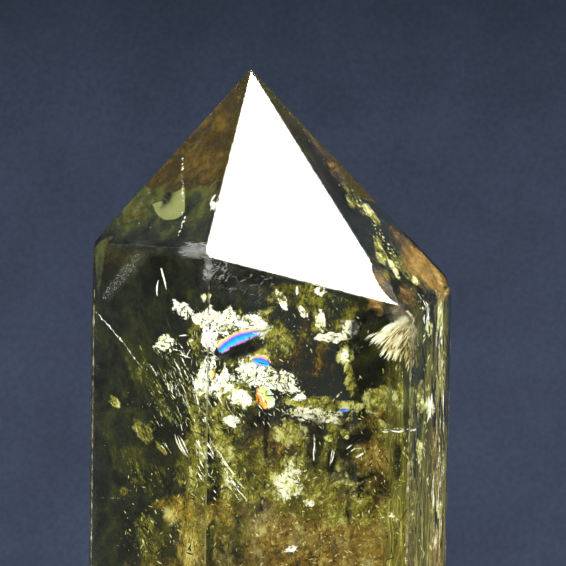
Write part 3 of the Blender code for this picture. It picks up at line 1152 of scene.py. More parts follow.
class Finish(Enum):
    """The finishes of what is inside the stone. Each one's glow is painted light."""

    # Frosted breaks, with a painted reflection of the lamps.
    WHITE = VeilFinish(
        "white_break_and_painted_glint", WHITE_STOPS, glow=1.25, cloud=(0.44, 500.0), swirl=(0.46, 2200.0),
        shard=(0.26, 2200.0), vein=0.12, crack=0.50, see_through=(0.35, 0.43), cover=(0.0, 1.0),
        coast=(2.1, 900.0), fade=0.12,
    )
    GREEN = VeilFinish(
        "green_break", GREEN_STOPS, glow=0.6, cloud=(0.62, 420.0), swirl=(0.36, 1600.0), shard=(0.12, 2400.0),
        vein=0.16, crack=0.20, see_through=(0.28, 0.52), cover=(0.0, 0.95), coast=(2.2, 650.0), fade=0.22,
        stretch=1.5,
    )
    LEFT_GREEN = VeilFinish(
        "slanting_green_break", GREEN_STOPS, glow=0.6, cloud=(0.54, 420.0), swirl=(0.42, 2000.0),
        shard=(0.10, 2600.0), vein=0.18, crack=0.18, see_through=(0.28, 0.60), cover=(0.0, 0.95),
        coast=(2.2, 650.0), fade=0.35, grain=DOWN_LEFT_SIDE, stretch=3.0,
    )
    AMBER = VeilFinish(
        "amber_cloud", AMBER_STOPS, glow=0.5, cloud=(0.60, 380.0), swirl=(0.38, 1700.0), shard=(0.08, 2600.0),
        vein=0.16, crack=0.20, see_through=(0.20, 0.55), cover=(0.10, 0.95), coast=(1.6, 500.0), fade=0.6,
        stretch=1.4,
    )
    OLIVE = VeilFinish(
        "olive_curtain", OLIVE_STOPS, glow=0.5, cloud=(0.56, 900.0), swirl=(0.56, 2600.0), shard=(0.0, 900.0),
        vein=0.04, crack=0.0, see_through=(0.16, 0.46), cover=(0.35, 0.97), coast=(0.8, 900.0), fade=0.3,
        stretch=10.0,
    )
    # Painted shade: the dark veils.
    PAINTED_SHADE = VeilFinish(
        "painted_shade_veil", PAINTED_SHADE_STOPS, glow=0.0, cloud=(0.6, 300.0), swirl=(0.4, 1400.0), shard=(0.0, 900.0),
        crack=0.0, see_through=(0.15, 0.45), cover=(0.5, 0.96), coast=(0.9, 700.0), fade=0.5,
    )
    HAZE = VeilFinish(
        "pale_haze", HAZE_STOPS, glow=0.15, cloud=(0.3, 600.0), swirl=(0.7, 2800.0), shard=(0.0, 900.0),
        crack=0.0, see_through=(0.30, 0.95), cover=(0.0, 0.62), coast=(0.5, 900.0), fade=0.9,
    )
    GOLD = VeilFinish(
        "golden_cloud", GOLD_STOPS, glow=0.5, cloud=(0.48, 330.0), swirl=(0.42, 2000.0), shard=(0.08, 2600.0),
        vein=0.14, crack=0.18, see_through=(0.10, 0.42), cover=(0.10, 0.98), coast=(1.6, 500.0), fade=0.5,
        stretch=1.8,
    )
    RUST = VeilFinish(
        "orange_cloud", RUST_STOPS, glow=0.5, cloud=(0.52, 330.0), swirl=(0.28, 2000.0), shard=(0.04, 2600.0),
        vein=0.08, crack=0.06, see_through=(0.12, 0.45), cover=(0.10, 0.97), coast=(1.4, 500.0), fade=0.4,
        stretch=1.6,
    )
    # Painted light and shade over the stone's own olive and amber.
    SHADE = VeilFinish(
        "olive_tint_and_painted_shade", SHADE_STOPS, glow=0.5, cloud=(0.46, 300.0), swirl=(0.24, 1500.0), shard=(0.06, 1200.0),
        vein=0.03, crack=0.06, see_through=(0.0, 0.1), cover=(0.88, 0.93), coast=(0.35, 500.0), fade=0.14,
    )
    # Bruising, and painted highlights along the edges.
    WEAR_AND_HIGHLIGHT = VeilFinish(
        "edge_bruise_and_highlight", WEAR_AND_HIGHLIGHT_STOPS, glow=0.45, cloud=(0.5, 300.0), swirl=(0.5, 1600.0), shard=(0.0, 900.0),
        crack=0.1, see_through=(0.25, 0.60), cover=(0.15, 1.0), coast=(0.0, 900.0),
    )
    SKY = FilmFinish("rainbow_film", SKY_BANDS)
    SUNSET = FilmFinish("sunset_film", SUNSET_BANDS, wobble=0.45)
    FAN = FanFinish("fan_break", FAN_STOPS)
    POCKET = PocketFinish("pale_pocket", POCKET_STOPS)


# ---------------------------------------------------------------- what is inside the stone


@dataclass(frozen=True)
class Group:
    """Inclusions of one kind that show through one face, each as a row of its values.

    A patch is its column, row, half width, half height, turn, depth and tone, then how it leans and is pulled
    where it does. Streaks are their column, row, half width, half height, turn, heading and count, then the
    ranges of their length, width, tone and depth, and how far they fan out. Specks are the same with no
    heading, and with the ranges of their size, tone and depth.
    """

    side: Side
    kind: type[Inclusion]
    rows: tuple[tuple, ...]

    def add_to(self, sheets: Sheets, rng: np.random.Generator) -> None:
        """Adds the inclusions in order.

        Args:
            sheets: what they are added to.
            rng: the source of chance.
        """
        window = Window(self.side)
        for row in self.rows:
            self.kind(*row).add_to(sheets, window, rng)


@dataclass(frozen=True)
class Zone:
    """Inclusions of one finish that make one piece."""

    name: str
    finish: Finish
    seed: int
    groups: tuple[Group, ...]

    def build(self) -> bpy.types.Object:
        """Makes the piece from its inclusions, and dresses it."""
        sheets = Sheets()
        rng = np.random.default_rng(self.seed)
        for group in self.groups:
            group.add_to(sheets, rng)
        return sheets.piece(self.name, self.finish.value.material())


@dataclass(frozen=True)
class FrontBreaks(Zone):
    """The bright breaks that show through the middle of the front."""

    name: str = "front_breaks"
    finish: Finish = Finish.WHITE
    seed: int = 11
    groups: tuple[Group, ...] = (
        Group(Side.FRONT, Patch, (
            (226, 321, 17, 12, -10, 4.5, 0.56, 0.04), (257, 325, 14, 11, 25, 6, 0.57, 0.0, 0.05),
            (213, 337, 4, 12, 0, 2, 0.54), (255, 374, 21, 14, 20, 6, 0.57, -0.04),
            (285, 385, 14, 10, 30, 9, 0.55, 0.0, 0.1), (224, 384, 14, 9, -30, 5, 0.53),
            (241, 398, 15, 9, 35, 5.5, 0.53), (321, 323, 5, 12, -8, 10, 0.5),
            (330, 338, 17, 5, 3, 10, 0.56), (351, 328, 9, 11, 20, 11, 0.5),
            (317, 416, 26, 8, 6, 12, 0.53, 0.0, 0.15), (289, 483, 13, 19, 15, 12, 0.51),
            (345, 357, 5, 6, 0, 6, 0.52), (299, 398, 7, 3.5, -8, 8, 0.55), (232, 421, 9, 5, 10, 5, 0.52),
            (308, 503, 6, 5, 0, 12, 0.46), (282, 300, 4, 9, -25, 5, 0.52), (320, 292, 6, 5, 0, 5, 0.5),
            (213, 366, 3, 8, 0, 2, 0.52), (303, 312, 3, 8, -35, 8, 0.52), (297, 290, 1.4, 5, 0, 4, 0.56),
            (291, 549, 7, 2.5, -18, 6, 0.55), (394, 517, 5, 4, 22, 6, 0.4),
        )),
    )


@dataclass(frozen=True)
class FrontGreens(Zone):
    """The yellow-green breaks round them."""

    name: str = "front_green_breaks"
    finish: Finish = Finish.GREEN
    seed: int = 12
    groups: tuple[Group, ...] = (
        Group(Side.FRONT, Patch, (
            (234, 406, 27, 23, 20, 7, 0.56, 0.0, 0.05), (220, 440, 12, 26, -25, 6, 0.56),
            (252, 338, 38, 32, 10, 8, 0.5), (290, 434, 16, 15, -20, 12, 0.76),
            (292, 478, 22, 26, 15, 13, 0.64), (350, 380, 6, 16, -8, 6, 0.66),
            (345, 356, 9, 10, 0, 11, 0.62), (380, 398, 20, 15, -30, 8, 0.72),
            (402, 395, 10, 16, 0, 8, 0.62), (320, 405, 40, 9, 4, 14, 0.62), (330, 448, 34, 30, 0, 16, 0.56),
            (345, 434, 6, 4, 30, 6, 0.66), (329, 438, 6, 4, 0, 6, 0.64), (318, 302, 56, 16, 12, 14, 0.4),
            (338, 328, 30, 20, 0, 14, 0.42), (300, 490, 60, 24, -6, 15, 0.56),
            (240, 470, 34, 36, 30, 10, 0.5), (350, 512, 60, 16, 3, 14, 0.54),
            (228, 535, 20, 26, 20, 7, 0.4), (382, 434, 26, 14, -20, 10, 0.52),
        )),
    )


@dataclass(frozen=True)
class FrontAmbers(Zone):
    """The amber clouds, thin above and thick towards the foot."""

    name: str = "front_amber_clouds"
    finish: Finish = Finish.AMBER
    seed: int = 13
    groups: tuple[Group, ...] = (
        Group(Side.FRONT, Patch, (
            (308, 358, 42, 40, 0, 18, 0.24), (395, 420, 22, 44, 0, 16, 0.52),
            (380, 452, 36, 34, 0, 18, 0.56), (270, 470, 60, 40, 0, 22, 0.48, 0.0, 0.05),
            (330, 520, 95, 34, 3, 20, 0.56), (300, 560, 115, 40, 0, 24, 0.58),
            (390, 560, 50, 46, 0, 14, 0.62), (272, 535, 30, 30, 0, 12, 0.58),
            (300, 640, 120, 60, 0, 22, 0.56), (250, 720, 80, 60, 0, 14, 0.54, 0.06),
            (360, 740, 70, 60, 0, 16, 0.56, 0.0, -0.05),
        )),
        Group(Side.RIGHT, Patch, ((438, 545, 7, 60, 0, 4, 0.6), (437, 450, 6, 50, 0, 4.5, 0.5))),
    )


@dataclass(frozen=True)
class FrontDarks(Zone):
    """Painted shade: dark veils brown-black by the fan, wavy columns lower down and thin dark strokes."""

    name: str = "front_painted_shade_veils"
    finish: Finish = Finish.PAINTED_SHADE
    seed: int = 14
    groups: tuple[Group, ...] = (
        Group(Side.FRONT, Patch, (
            (356, 330, 7, 30, 6, 5, 0.4), (368, 318, 12, 10, 6, 5, 0.4), (362, 436, 20, 9, -25, 7, 0.36),
            (266, 432, 3.4, 34, 2, 6, 0.34), (316, 446, 10, 36, 3, 7, 0.9), (345, 446, 9, 34, -8, 7, 0.9),
            (331, 464, 7, 24, 8, 7.5, 0.95), (243, 350, 24, 8, -12, 4, 0.54),
            (256, 417, 12, 16, 20, 6, 0.5), (348, 508, 3, 18, 0, 6, 0.34), (371, 474, 9, 6, 0, 6, 0.4),
            (398, 462, 5, 26, 2, 6, 0.3), (228, 545, 15, 26, 12, 2.5, 0.3),
        )),
        Group(Side.FRONT, Streaks, (
            (234, 324, 22, 12, -8, 20, 30, (3, 12), (0.5, 1.5), (0.3, 0.8), (1.5, 5), 100),
            (262, 378, 30, 16, 20, 60, 38, (3, 13), (0.5, 1.6), (0.3, 0.8), (1.5, 5), 100),
            (320, 418, 26, 8, 4, 20, 26, (3, 10), (0.5, 1.3), (0.3, 0.8), (1.5, 5), 100),
            (266, 398, 8, 9, 0, 80, 12, (3, 9), (0.5, 1.3), (0.3, 0.8), (1.5, 4), 60),
            (289, 483, 12, 18, 0, 60, 22, (3, 9), (0.5, 1.2), (0.3, 0.8), (1.5, 5), 90),
            (300, 450, 90, 40, 0, 70, 70, (3, 14), (0.5, 1.6), (0.3, 0.8), (2, 8), 80),
            (310, 525, 96, 36, 0, 40, 40, (3, 10), (0.5, 1.4), (0.3, 0.8), (2, 8), 100),
        )),
        Group(Side.LEFT, Streaks, (
            (180, 335, 20, 22, 0, 50, 40, (3, 14), (0.5, 1.8), (0.3, 0.8), (1.5, 5), 70),
            (184, 400, 14, 40, -25, 62, 60, (4, 20), (0.5, 1.8), (0.3, 0.8), (1.5, 5), 40),
            (160, 510, 40, 44, 0, 70, 60, (3, 12), (0.5, 1.8), (0.3, 0.8), (2, 6), 80),
        )),
        Group(Side.TIP_RIGHT, Patch, (
            (352, 234, 6, 32, -28, 2, 0.34), (384, 262, 6, 18, -34, 2, 0.5),
            (432, 295, 5, 8, -30, 1.2, 0.5),
        )),
        Group(Side.RIGHT, Streaks, (
            (438, 430, 6, 120, 0, 90, 60, (10, 44), (0.5, 1.8), (0.3, 0.7), (0.8, 3)),
            (419, 430, 5, 110, 0, 88, 26, (8, 30), (0.5, 1.6), (0.3, 0.7), (0.8, 3)),
        )),
    )


@dataclass(frozen=True)
class LeftBreaks(Zone):
    """The bright breaks that show through the left side."""

    name: str = "left_breaks"
    finish: Finish = Finish.WHITE
    seed: int = 21
    groups: tuple[Group, ...] = (
        Group(Side.LEFT, Patch, (
            (184, 311, 11, 7, 40, 6, 0.53), (197, 319, 5, 6, 20, 6, 0.5), (165, 343, 9, 7, -10, 7, 0.47),
            (201, 374, 3, 12, 10, 6, 0.46),
        )),
    )


@dataclass(frozen=True)
class LeftGreens(Zone):
    """The green and yellow breaks through the left side."""

    name: str = "left_green_breaks"
    finish: Finish = Finish.LEFT_GREEN
    seed: int = 22
    groups: tuple[Group, ...] = (
        Group(Side.LEFT, Patch, (
            (143, 430, 12, 10, 40, 8, 0.72), (116, 403, 9, 4.5, 42, 7, 0.7),
            (162, 449, 11, 2.5, 52, 8, 0.66), (187, 345, 13, 13, -35, 11, 0.22),
            (182, 388, 12, 36, -30, 11, 0.18), (150, 390, 10, 36, -35, 11, 0.42),
            (200, 440, 8, 34, -10, 11, 0.28), (154, 470, 28, 28, 0, 12, 0.34),
            (184, 474, 20, 26, 0, 12, 0.32), (146, 540, 14, 26, 0, 11, 0.46),
            (204, 298, 3.5, 5, 0, 1.0, 0.8),
        )),
    )


@dataclass(frozen=True)
class LeftAmbers(Zone):
    """The amber clouds through the left side."""

    name: str = "left_amber_clouds"
    finish: Finish = Finish.GOLD
    seed: int = 23
    groups: tuple[Group, ...] = (
        Group(Side.LEFT, Patch, (
            (191, 540, 13, 44, 0, 9, 0.66), (173, 514, 9, 11, 10, 8, 0.67), (178, 506, 22, 11, 4, 12, 0.54),
            (165, 610, 50, 60, 0, 12, 0.48), (124, 491, 4.5, 4, 0, 4, 0.56),
            (150, 720, 60, 70, 0, 12, 0.52, 0.0, 0.05),
        )),
    )


@dataclass(frozen=True)
class Feathers(Zone):
    """The swarms of thin bright streaks that run down from the crack, and the upright ones in the sides."""

    name: str = "feather_streaks"
    finish: Finish = Finish.WHITE
    seed: int = 31
    groups: tuple[Group, ...] = (
        Group(Side.LEFT, Streaks, (
            (172, 384, 5, 13, -20, 75, 20, (3, 9)),
            (188, 388, 9, 30, -25, 66, 26, (5, 20), (0.5, 1.6), (0.25, 0.8)),
            (181, 345, 14, 12, 0, 40, 22, (3, 12), (0.5, 1.4), (0.2, 0.8), (4.0, 10.0), 60),
            (201, 466, 4, 26, -8, 60, 16, (4, 12), (0.5, 1.3), (0.1, 0.7), (1, 3)),
            (168, 372, 14, 30, -38, 55, 26, (12, 30), (0.4, 0.9), (0.1, 0.4), (4.0, 10.0), 4),
            (160, 398, 12, 30, -20, 60, 16, (10, 30), (0.4, 0.9), (0.05, 0.35)),
            (181, 445, 3, 2, 0, 64, 4, (16, 24), (0.8, 1.6), (0.4, 0.7), (4.0, 10.0), 3),
            (165, 446, 2, 3, 0, 55, 3, (10, 16), (0.5, 1.2), (0.2, 0.4), (4.0, 10.0), 4),
            (163, 278, 1.2, 2, 0, 76, 3, (14, 22), (1.2, 2.2), (0.6, 0.8), (2, 4)),
            (157.5, 288, 0.5, 1, 0, 94, 2, (12, 16), (1.0, 1.6), (0.5, 0.7), (2, 4)),
        )),
        Group(Side.FRONT, Streaks, (
            (226, 466, 2.5, 22, -36, 54, 8, (20, 40), (0.8, 1.5), (0.1, 0.5), (1, 2.5), 3),
            (236, 488, 5, 14, -36, 52, 14, (4, 12), (0.5, 1.2), (0.3, 0.8), (1, 3)),
            (206, 420, 4, 14, -20, 72, 9, (4, 12), (0.5, 1.2), (0.3, 0.7)),
            (262, 418, 8, 7, 0, 60, 10, (4, 9), (0.5, 1.2), (0.5, 0.9), (4.0, 10.0), 50),
            (266, 399, 7, 9, 0, 60, 16, (3, 8), (0.5, 1.3), (0.5, 0.9), (2, 4), 70),
            (355, 448, 6, 9, 0, -35, 7, (5, 13), (0.5, 1.2), (0.4, 0.8), (4.0, 10.0), 30),
            (315, 447, 1.2, 8, 0, 86, 3, (14, 24), (0.8, 1.4), (0.4, 0.7)),
            (334, 452, 3, 8, 0, 106, 4, (12, 22), (0.5, 1.2), (0.2, 0.6)),
            (394, 430, 12, 2, 0, 2, 7, (4, 12), (0.8, 1.8), (0.5, 0.8)),
            (398, 440, 13, 60, 0, 90, 14, (14, 50), (0.4, 0.9), (0.0, 0.3), (1.5, 5), 2),
        )),
        Group(Side.RIGHT, Streaks, (
            (427, 318, 2, 12, 0, 92, 9, (5, 14), (0.5, 1.2), (0.4, 0.8), (1.5, 4), 4),
            (440, 325, 3, 20, 0, 92, 12, (8, 26), (0.6, 1.6), (0.4, 0.8), (1.5, 4), 3),
            (430, 408, 4, 8, 0, 88, 12, (6, 16), (0.8, 1.8), (0.5, 0.9), (1.5, 4), 4),
            (440, 420, 5, 60, 0, 91, 22, (10, 40), (0.4, 1.0), (0.2, 0.6), (1.5, 5), 2),
            (438, 510, 6, 40, 0, 91, 22, (6, 22), (0.5, 1.4), (0.3, 0.7), (1.5, 5), 4),
        )),
        Group(Side.TIP_LEFT, Streaks, (
            (213, 203, 2.2, 5, 0, 75, 9, (4, 10), (0.8, 1.8), (0.5, 0.8), (1, 2), 70),
        )),
    )


@dataclass(frozen=True)
class BrightSpecks(Zone):
    """The bright grains, scattered and in lines, which paint glints."""

    name: str = "painted_glint_specks"
    finish: Finish = Finish.GREEN
    seed: int = 41
    groups: tuple[Group, ...] = (
        Group(Side.FRONT, Specks, (
            (310, 470, 95, 90, 0, 240, (0.03, 0.08), (0.2, 1.0)),
            (330, 530, 75, 26, 0, 160, (0.03, 0.08), (0.4, 1.0)),
            (240, 370, 34, 50, 0, 60, (0.03, 0.08), (0.4, 1.0), (3, 9)),
        )),
        Group(Side.LEFT, Specks, (
            (160, 440, 45, 100, 0, 110, (0.03, 0.08), (0.2, 1.0)),
            (150, 530, 40, 30, 0, 60, (0.03, 0.08), (0.4, 1.0), (2, 8)),
        )),
        Group(Side.TIP_RIGHT, Specks, (
            (376, 228, 3, 52, -32, 70, (0.04, 0.2), (0.5, 1.0), (0.7, 2.5)),
            (318, 150, 2.5, 70, -33, 60, (0.03, 0.09), (0.3, 1.0), (0.7, 1.6)),
        )),
        Group(Side.RIGHT, Specks, ((425, 320, 3, 16, 0, 16, (0.05, 0.14), (0.6, 1.0), (1, 2.5)),)),
    )


@dataclass(frozen=True)
class Splinters(Zone):
    """Short bright splinters lying every way: painted glints, as where tiny cracks catch the light."""

    name: str = "splinters"
    finish: Finish = Finish.GREEN
    seed: int = 42
    groups: tuple[Group, ...] = (
        Group(Side.FRONT, Streaks, (
            (310, 440, 92, 50, 0, 60, 170, (1.5, 6), (0.5, 1.5), (0.4, 1.0), (3, 14), 120),
            (310, 520, 96, 46, 0, 40, 260, (1.5, 6), (0.5, 1.5), (0.3, 1.0), (3, 14), 120),
            (250, 375, 42, 50, 0, 60, 110, (1.5, 6), (0.5, 1.5), (0.5, 1.1), (4.0, 10.0), 100),
            (320, 325, 50, 26, 0, 50, 70, (1.5, 6), (0.5, 1.5), (0.3, 0.8), (4.0, 10.0), 100),
            (380, 420, 30, 50, 0, 80, 80, (1.5, 6), (0.5, 1.5), (0.3, 0.8), (4.0, 10.0), 60),
        )),
        Group(Side.LEFT, Streaks, (
            (175, 380, 22, 60, -28, 62, 50, (1.5, 6), (0.5, 1.5), (0.3, 0.8), (3, 12), 60),
            (180, 396, 15, 46, -28, 60, 34, (14, 44), (0.7, 2.0), (0.1, 0.5), (3, 9), 8),
            (165, 520, 40, 50, 0, 70, 110, (1.5, 6), (0.5, 1.5), (0.2, 0.9), (4.0, 10.0), 80),
        )),
        Group(Side.RIGHT, Streaks, (
            (431, 430, 14, 130, 0, 90, 140, (2, 9), (0.5, 1.5), (0.3, 1.0), (2, 6), 30),
        )),
    )


@dataclass(frozen=True)
class TipLeftBreaks(Zone):
    """The painted glints in the left face of the tip: the line of grains and the scattered ones."""

    name: str = "tip_left_breaks"
    finish: Finish = Finish.WHITE
    seed: int = 51
    groups: tuple[Group, ...] = (
        Group(Side.TIP_LEFT, Specks, (
            (182.5, 186, 0.8, 32, 0, 40, (0.05, 0.12), (0.2, 0.8), (1.0, 1.6)),
            (180.5, 229, 0.8, 14, 20, 18, (0.05, 0.14), (0.3, 0.9), (1.0, 1.6)),
            (160, 200, 40, 30, 0, 30, (0.04, 0.1), (0.0, 0.5), (1.0, 6)),
        )),
    )


@dataclass(frozen=True)
class TipGreens(Zone):
    """The green breaks in the right face of the tip."""

    name: str = "tip_green_breaks"
    finish: Finish = Finish.GREEN
    seed: int = 52
    groups: tuple[Group, ...] = (
        Group(Side.TIP_RIGHT, Patch, (
            (372, 214, 4, 14, -33, 1.6, 0.64), (379, 250, 5, 14, -25, 1.6, 0.7),
            (394, 268, 4, 11, -33, 1.6, 0.74), (415, 281, 3.5, 6, -20, 1.6, 0.66),
            (352, 196, 6, 22, -35, 2.5, 0.4), (400, 262, 6, 26, -30, 3.0, 0.36),
        )),
    )


@dataclass(frozen=True)
class TipAmbers(Zone):
    """The amber in the right face of the tip, brightest by the shoulder."""

    name: str = "tip_amber_clouds"
    finish: Finish = Finish.RUST
    seed: int = 53
    groups: tuple[Group, ...] = (
        Group(Side.TIP_RIGHT, Patch, (
            (382, 284, 9, 18, -24, 2.2, 0.54), (423, 266, 13, 38, -38, 3.0, 0.62),
            (408, 296, 9, 14, -20, 3.0, 0.5), (398, 238, 5, 22, -42, 2.0, 0.36),
            (325, 150, 7, 44, -36, 2.0, 0.3), (340, 176, 5, 16, -40, 1.5, 0.4),
        )),
    )


@dataclass(frozen=True)
class RightCurtains(Zone):
    """The olive bands through the right side of the column."""

    name: str = "right_olive_curtains"
    finish: Finish = Finish.OLIVE
    seed: int = 61
    groups: tuple[Group, ...] = (
        Group(Side.RIGHT, Pane, (
            (
                ((416, 322), (430, 310), (446, 296), (446, 460), (446, 610), (416, 610), (416, 460)),
                5.6,
                ((310, 0.3), (430, 0.34), (566, 0.4)),
            ),
        )),
        Group(Side.RIGHT, Patch, (
            (439, 360, 8, 78, 1, 5, 0.46, 0.0, 0.0, 0.05), (439, 500, 8, 80, 1, 5, 0.5, 0.0, 0.0, 0.05),
            (422, 540, 11, 60, 1, 6, 0.44, 0.0, 0.0, 0.05), (421, 400, 8, 90, 1, 6, 0.28, 0.0, 0.0, 0.05),
            (430, 680, 17, 100, 0, 7, 0.52, 0.0, 0.0, 0.05),
        )),
    )


@dataclass(frozen=True)
class RightGreens(Zone):
    """The brighter knots in the right side."""

    name: str = "right_green_breaks"
    finish: Finish = Finish.GREEN
    seed: int = 62
    groups: tuple[Group, ...] = (
        Group(Side.RIGHT, Patch, (
            (429, 328, 5, 8, 0, 2, 0.84), (440, 322, 3, 24, 0, 1.5, 0.78), (429, 405, 6, 10, 0, 3, 0.84),
            (419, 447, 4, 8, 0, 2, 0.78), (419, 458, 3, 6, 0, 2, 0.74), (438, 510, 5, 14, 0, 3, 0.7),
            (418, 352, 3, 22, 0, 1.5, 0.46), (420, 400, 4, 18, 0, 1.5, 0.58),
            (417, 495, 3, 22, 0, 1.5, 0.44),
        )),
    )


@dataclass(frozen=True)
class Hazes(Zone):
    """The whitish veils: slanting smoke on the left, hatching under the tip and the frosted corner."""

    name: str = "pale_hazes"
    finish: Finish = Finish.HAZE
    seed: int = 71
    groups: tuple[Group, ...] = (
        Group(Side.LEFT, Patch, ((126, 272, 36, 8, -50, 4, 0.56),)),
        Group(Side.LEFT, Specks, ((122, 276, 30, 5, -50, 220, (0.03, 0.07), (0.6, 1.3), (1, 4)),)),
        Group(Side.LEFT, Patch, ((196, 250, 15, 7, 4, 0.7, 0.86), (207, 268, 3, 12, 0, 0.8, 0.8))),
        Group(Side.LEFT, Streaks, (
            (194, 250, 13, 8, 0, 6, 60, (4, 12), (0.5, 1.2), (0.5, 1.3), (0.6, 1)),
            (206, 268, 2.5, 12, 0, 40, 16, (3, 7), (0.5, 1.2), (0.5, 1.2), (0.6, 1)),
        )),
        Group(Side.FRONT, Patch, ((234, 285, 34, 20, 12, 3, 0.42), (396, 314, 12, 8, 20, 1.5, 0.66))),
        Group(Side.FRONT, Streaks, (
            (244, 280, 32, 14, 14, -16, 90, (3, 10), (0.4, 1.0), (0.3, 1.0), (0.8, 2), 70),
            (219, 270, 10, 9, 14, -30, 40, (2, 7), (0.5, 1.2), (0.6, 1.3), (0.8, 2), 90),
        )),
    )


@dataclass(frozen=True)
class SlantingCrack(Zone):
    """The bright slanting crack on the left side, and the hair cracks under it."""

    name: str = "slanting_crack"
    finish: Finish = Finish.WHITE
    seed: int = 81
    groups: tuple[Group, ...] = (
        Group(Side.LEFT, Crack, (
            (((96.5, 312), (112, 330), (123, 342), (132, 355), (142.5, 368)), 1.5, 0.6),
            (((149.5, 364), (153, 369), (157, 376)), 1.3, 0.6),
            (((102, 452), (108, 440), (118, 424)), 0.6, -0.05),
            (((96, 498), (110, 497.5), (127, 499)), 0.7, 0.15),
        )),
    )


@dataclass(frozen=True)
class RainbowFilms(Zone):
    """The blue films: the arc across the upper break, the spot below it and a small one further down."""

    name: str = "rainbow_films"
    finish: Finish = Finish.SKY
    seed: int = 91
    groups: tuple[Group, ...] = (
        Group(Side.FRONT, Film, (
            (((218, 353), (233, 340), (261, 332)), 14, 1.6), (((253, 360), (262, 361), (270, 366)), 13, 3),
            (((338, 409), (343, 410), (350, 409)), 5, 8),
        )),
    )


@dataclass(frozen=True)
class SunsetFilms(Zone):
    """The orange to green film at the foot of the lower break, and the amber dots."""

    name: str = "sunset_films"
    finish: Finish = Finish.SUNSET
    seed: int = 92
    groups: tuple[Group, ...] = (
        Group(Side.FRONT, Film, (
            (((260, 387), (265, 397), (270, 409)), 18, 4.4, True),
            (((210, 370), (212, 374), (212, 379)), 6, 0.8),
        )),
    )


@dataclass(frozen=True)
class FanBreak(Zone):
    """The shell-like break under the right corner of the tip face."""

    name: str = "fan_break"
    finish: Finish = Finish.FAN
    seed: int = 93
    groups: tuple[Group, ...] = (
        Group(Side.FRONT, Fan, (
            (423, 305, 127, 151, 20, 66, 1.2, 0.6), (424, 306, 101, 134, 26, 65, 1.8, 0.4),
        )),
    )


@dataclass(frozen=True)
class PalePocket(Zone):
    """The pale pocket in the left face of the tip."""

    name: str = "pale_pocket"
    finish: Finish = Finish.POCKET
    seed: int = 94
    groups: tuple[Group, ...] = (
        Group(Side.TIP_LEFT, Pane, (
            (
                (
                    (152, 204), (154.5, 211), (158, 216), (163, 219.5), (168, 220.5), (176, 219.5),
                    (181, 216.5), (185, 212), (185.3, 204), (185.3, 195), (185, 186), (181, 189),
                    (176, 191.5), (171, 193), (167, 198), (159.5, 201.5),
                ),
                2.0,
                ((186, 0.3), (220, 0.7)),
            ),
        )),
    )


@dataclass(frozen=True)
class TipDarks(Zone):
    """Painted shade: dark smudges in the left and right faces of the tip, its pocket and under its front
    face.
    """

    name: str = "tip_painted_shade_veils"
    finish: Finish = Finish.PAINTED_SHADE
    seed: int = 95
    groups: tuple[Group, ...] = (
        Group(Side.TIP_LEFT, Patch, (
            (203, 134, 20, 6, -50, 1.5, 0.16), (167.5, 197.5, 4.2, 11, 24, 1.2, 0.95),
        )),
        Group(Side.TIP_RIGHT, Patch, (
            (432, 296, 6, 8, 20, 1.5, 0.6), (330, 175, 12, 70, -34, 6, 0.5, 0.0, 0.0, 0.08),
        )),
        Group(Side.FRONT, Patch, ((245, 280, 42, 17, 14, 8, 0.62, 0.0, 0.0, 0.06),)),
    )


@dataclass(frozen=True)
class OliveShades(Zone):
    """Smooth sheets in the stone's own amber and olive, also painting light and shade."""

    # Painted light: the amber high in the left tip face stands in for the bright floor seen through it.
    # Painted shade: dark green below it, and dark olive that hides the floor, backdrop and a back edge
    # behind.
    name: str = "olive_tint_and_painted_shades"
    finish: Finish = Finish.SHADE
    seed: int = 97
    groups: tuple[Group, ...] = (
        Group(Side.TIP_LEFT, Pane, (
            (
                (
                    (252, 66), (242, 108), (230, 155), (213, 228), (211, 254), (180, 253), (140, 249),
                    (104, 246), (96, 234), (104, 220), (144, 176), (194, 121), (230, 84),
                ),
                3.5,
                ((120, 0.97), (178, 0.94), (191, 0.72), (200, 0.57), (212, 0.46), (245, 0.36)),
            ),
        )),
        Group(Side.TIP_LEFT, Patch, ((134, 206, 22, 11, -42, 3.2, 0.57),)),
        Group(Side.LEFT, Pane, (
            (
                (
                    (88, 242), (150, 232), (210, 236), (202, 300), (188, 360), (196, 410), (186, 470),
                    (194, 530), (188, 610), (86, 610), (86, 400),
                ),
                13.0,
                ((262, 0.36), (380, 0.37), (480, 0.37), (566, 0.4)),
            ),
        )),
        Group(Side.SHOULDER, Pane, (
            (
                (
                    (95, 248), (99, 240), (110, 230), (107, 237), (103.5, 255), (101, 275), (97, 304),
                    (95, 276),
                ),
                0.8,
                ((236, 0.66), (290, 0.48)),
            ),
        )),
        Group(Side.RIGHT, Patch, ((419, 380, 4, 60, 0, 3, 0.5),)),
        Group(Side.FRONT, Patch, ((240, 350, 20, 6, -16, 3.6, 0.36), (364, 348, 25, 54, 0, 18, 0.42))),
    )


@dataclass(frozen=True)
class EdgeBruisesAndHighlights(Zone):
    """The thin lines under the worn upright edges: bruising, and painted highlights."""

    name: str = "edge_bruise_and_highlights"
    finish: Finish = Finish.WEAR_AND_HIGHLIGHT
    seed: int = 96
    groups: tuple[Group, ...] = (
        Group(Side.FRONT, EdgeLine, (
            ('front_left', 'back_left', 2.0, 59.0, 0.52, 0.44, 0.4),
            ('front_left', 'front', 2.0, 60.0, 0.4), ('front', 'front_right', 2.0, 55.5, 0.54, 0.26),
            ('front_right', 'back_right', 2.0, 54.0, 0.48, 0.26), ('back_right', 'back', 2.0, 56.0, 0.3),
            ('back', 'back_left', 2.0, 55.0, 0.44),
        )),
    )


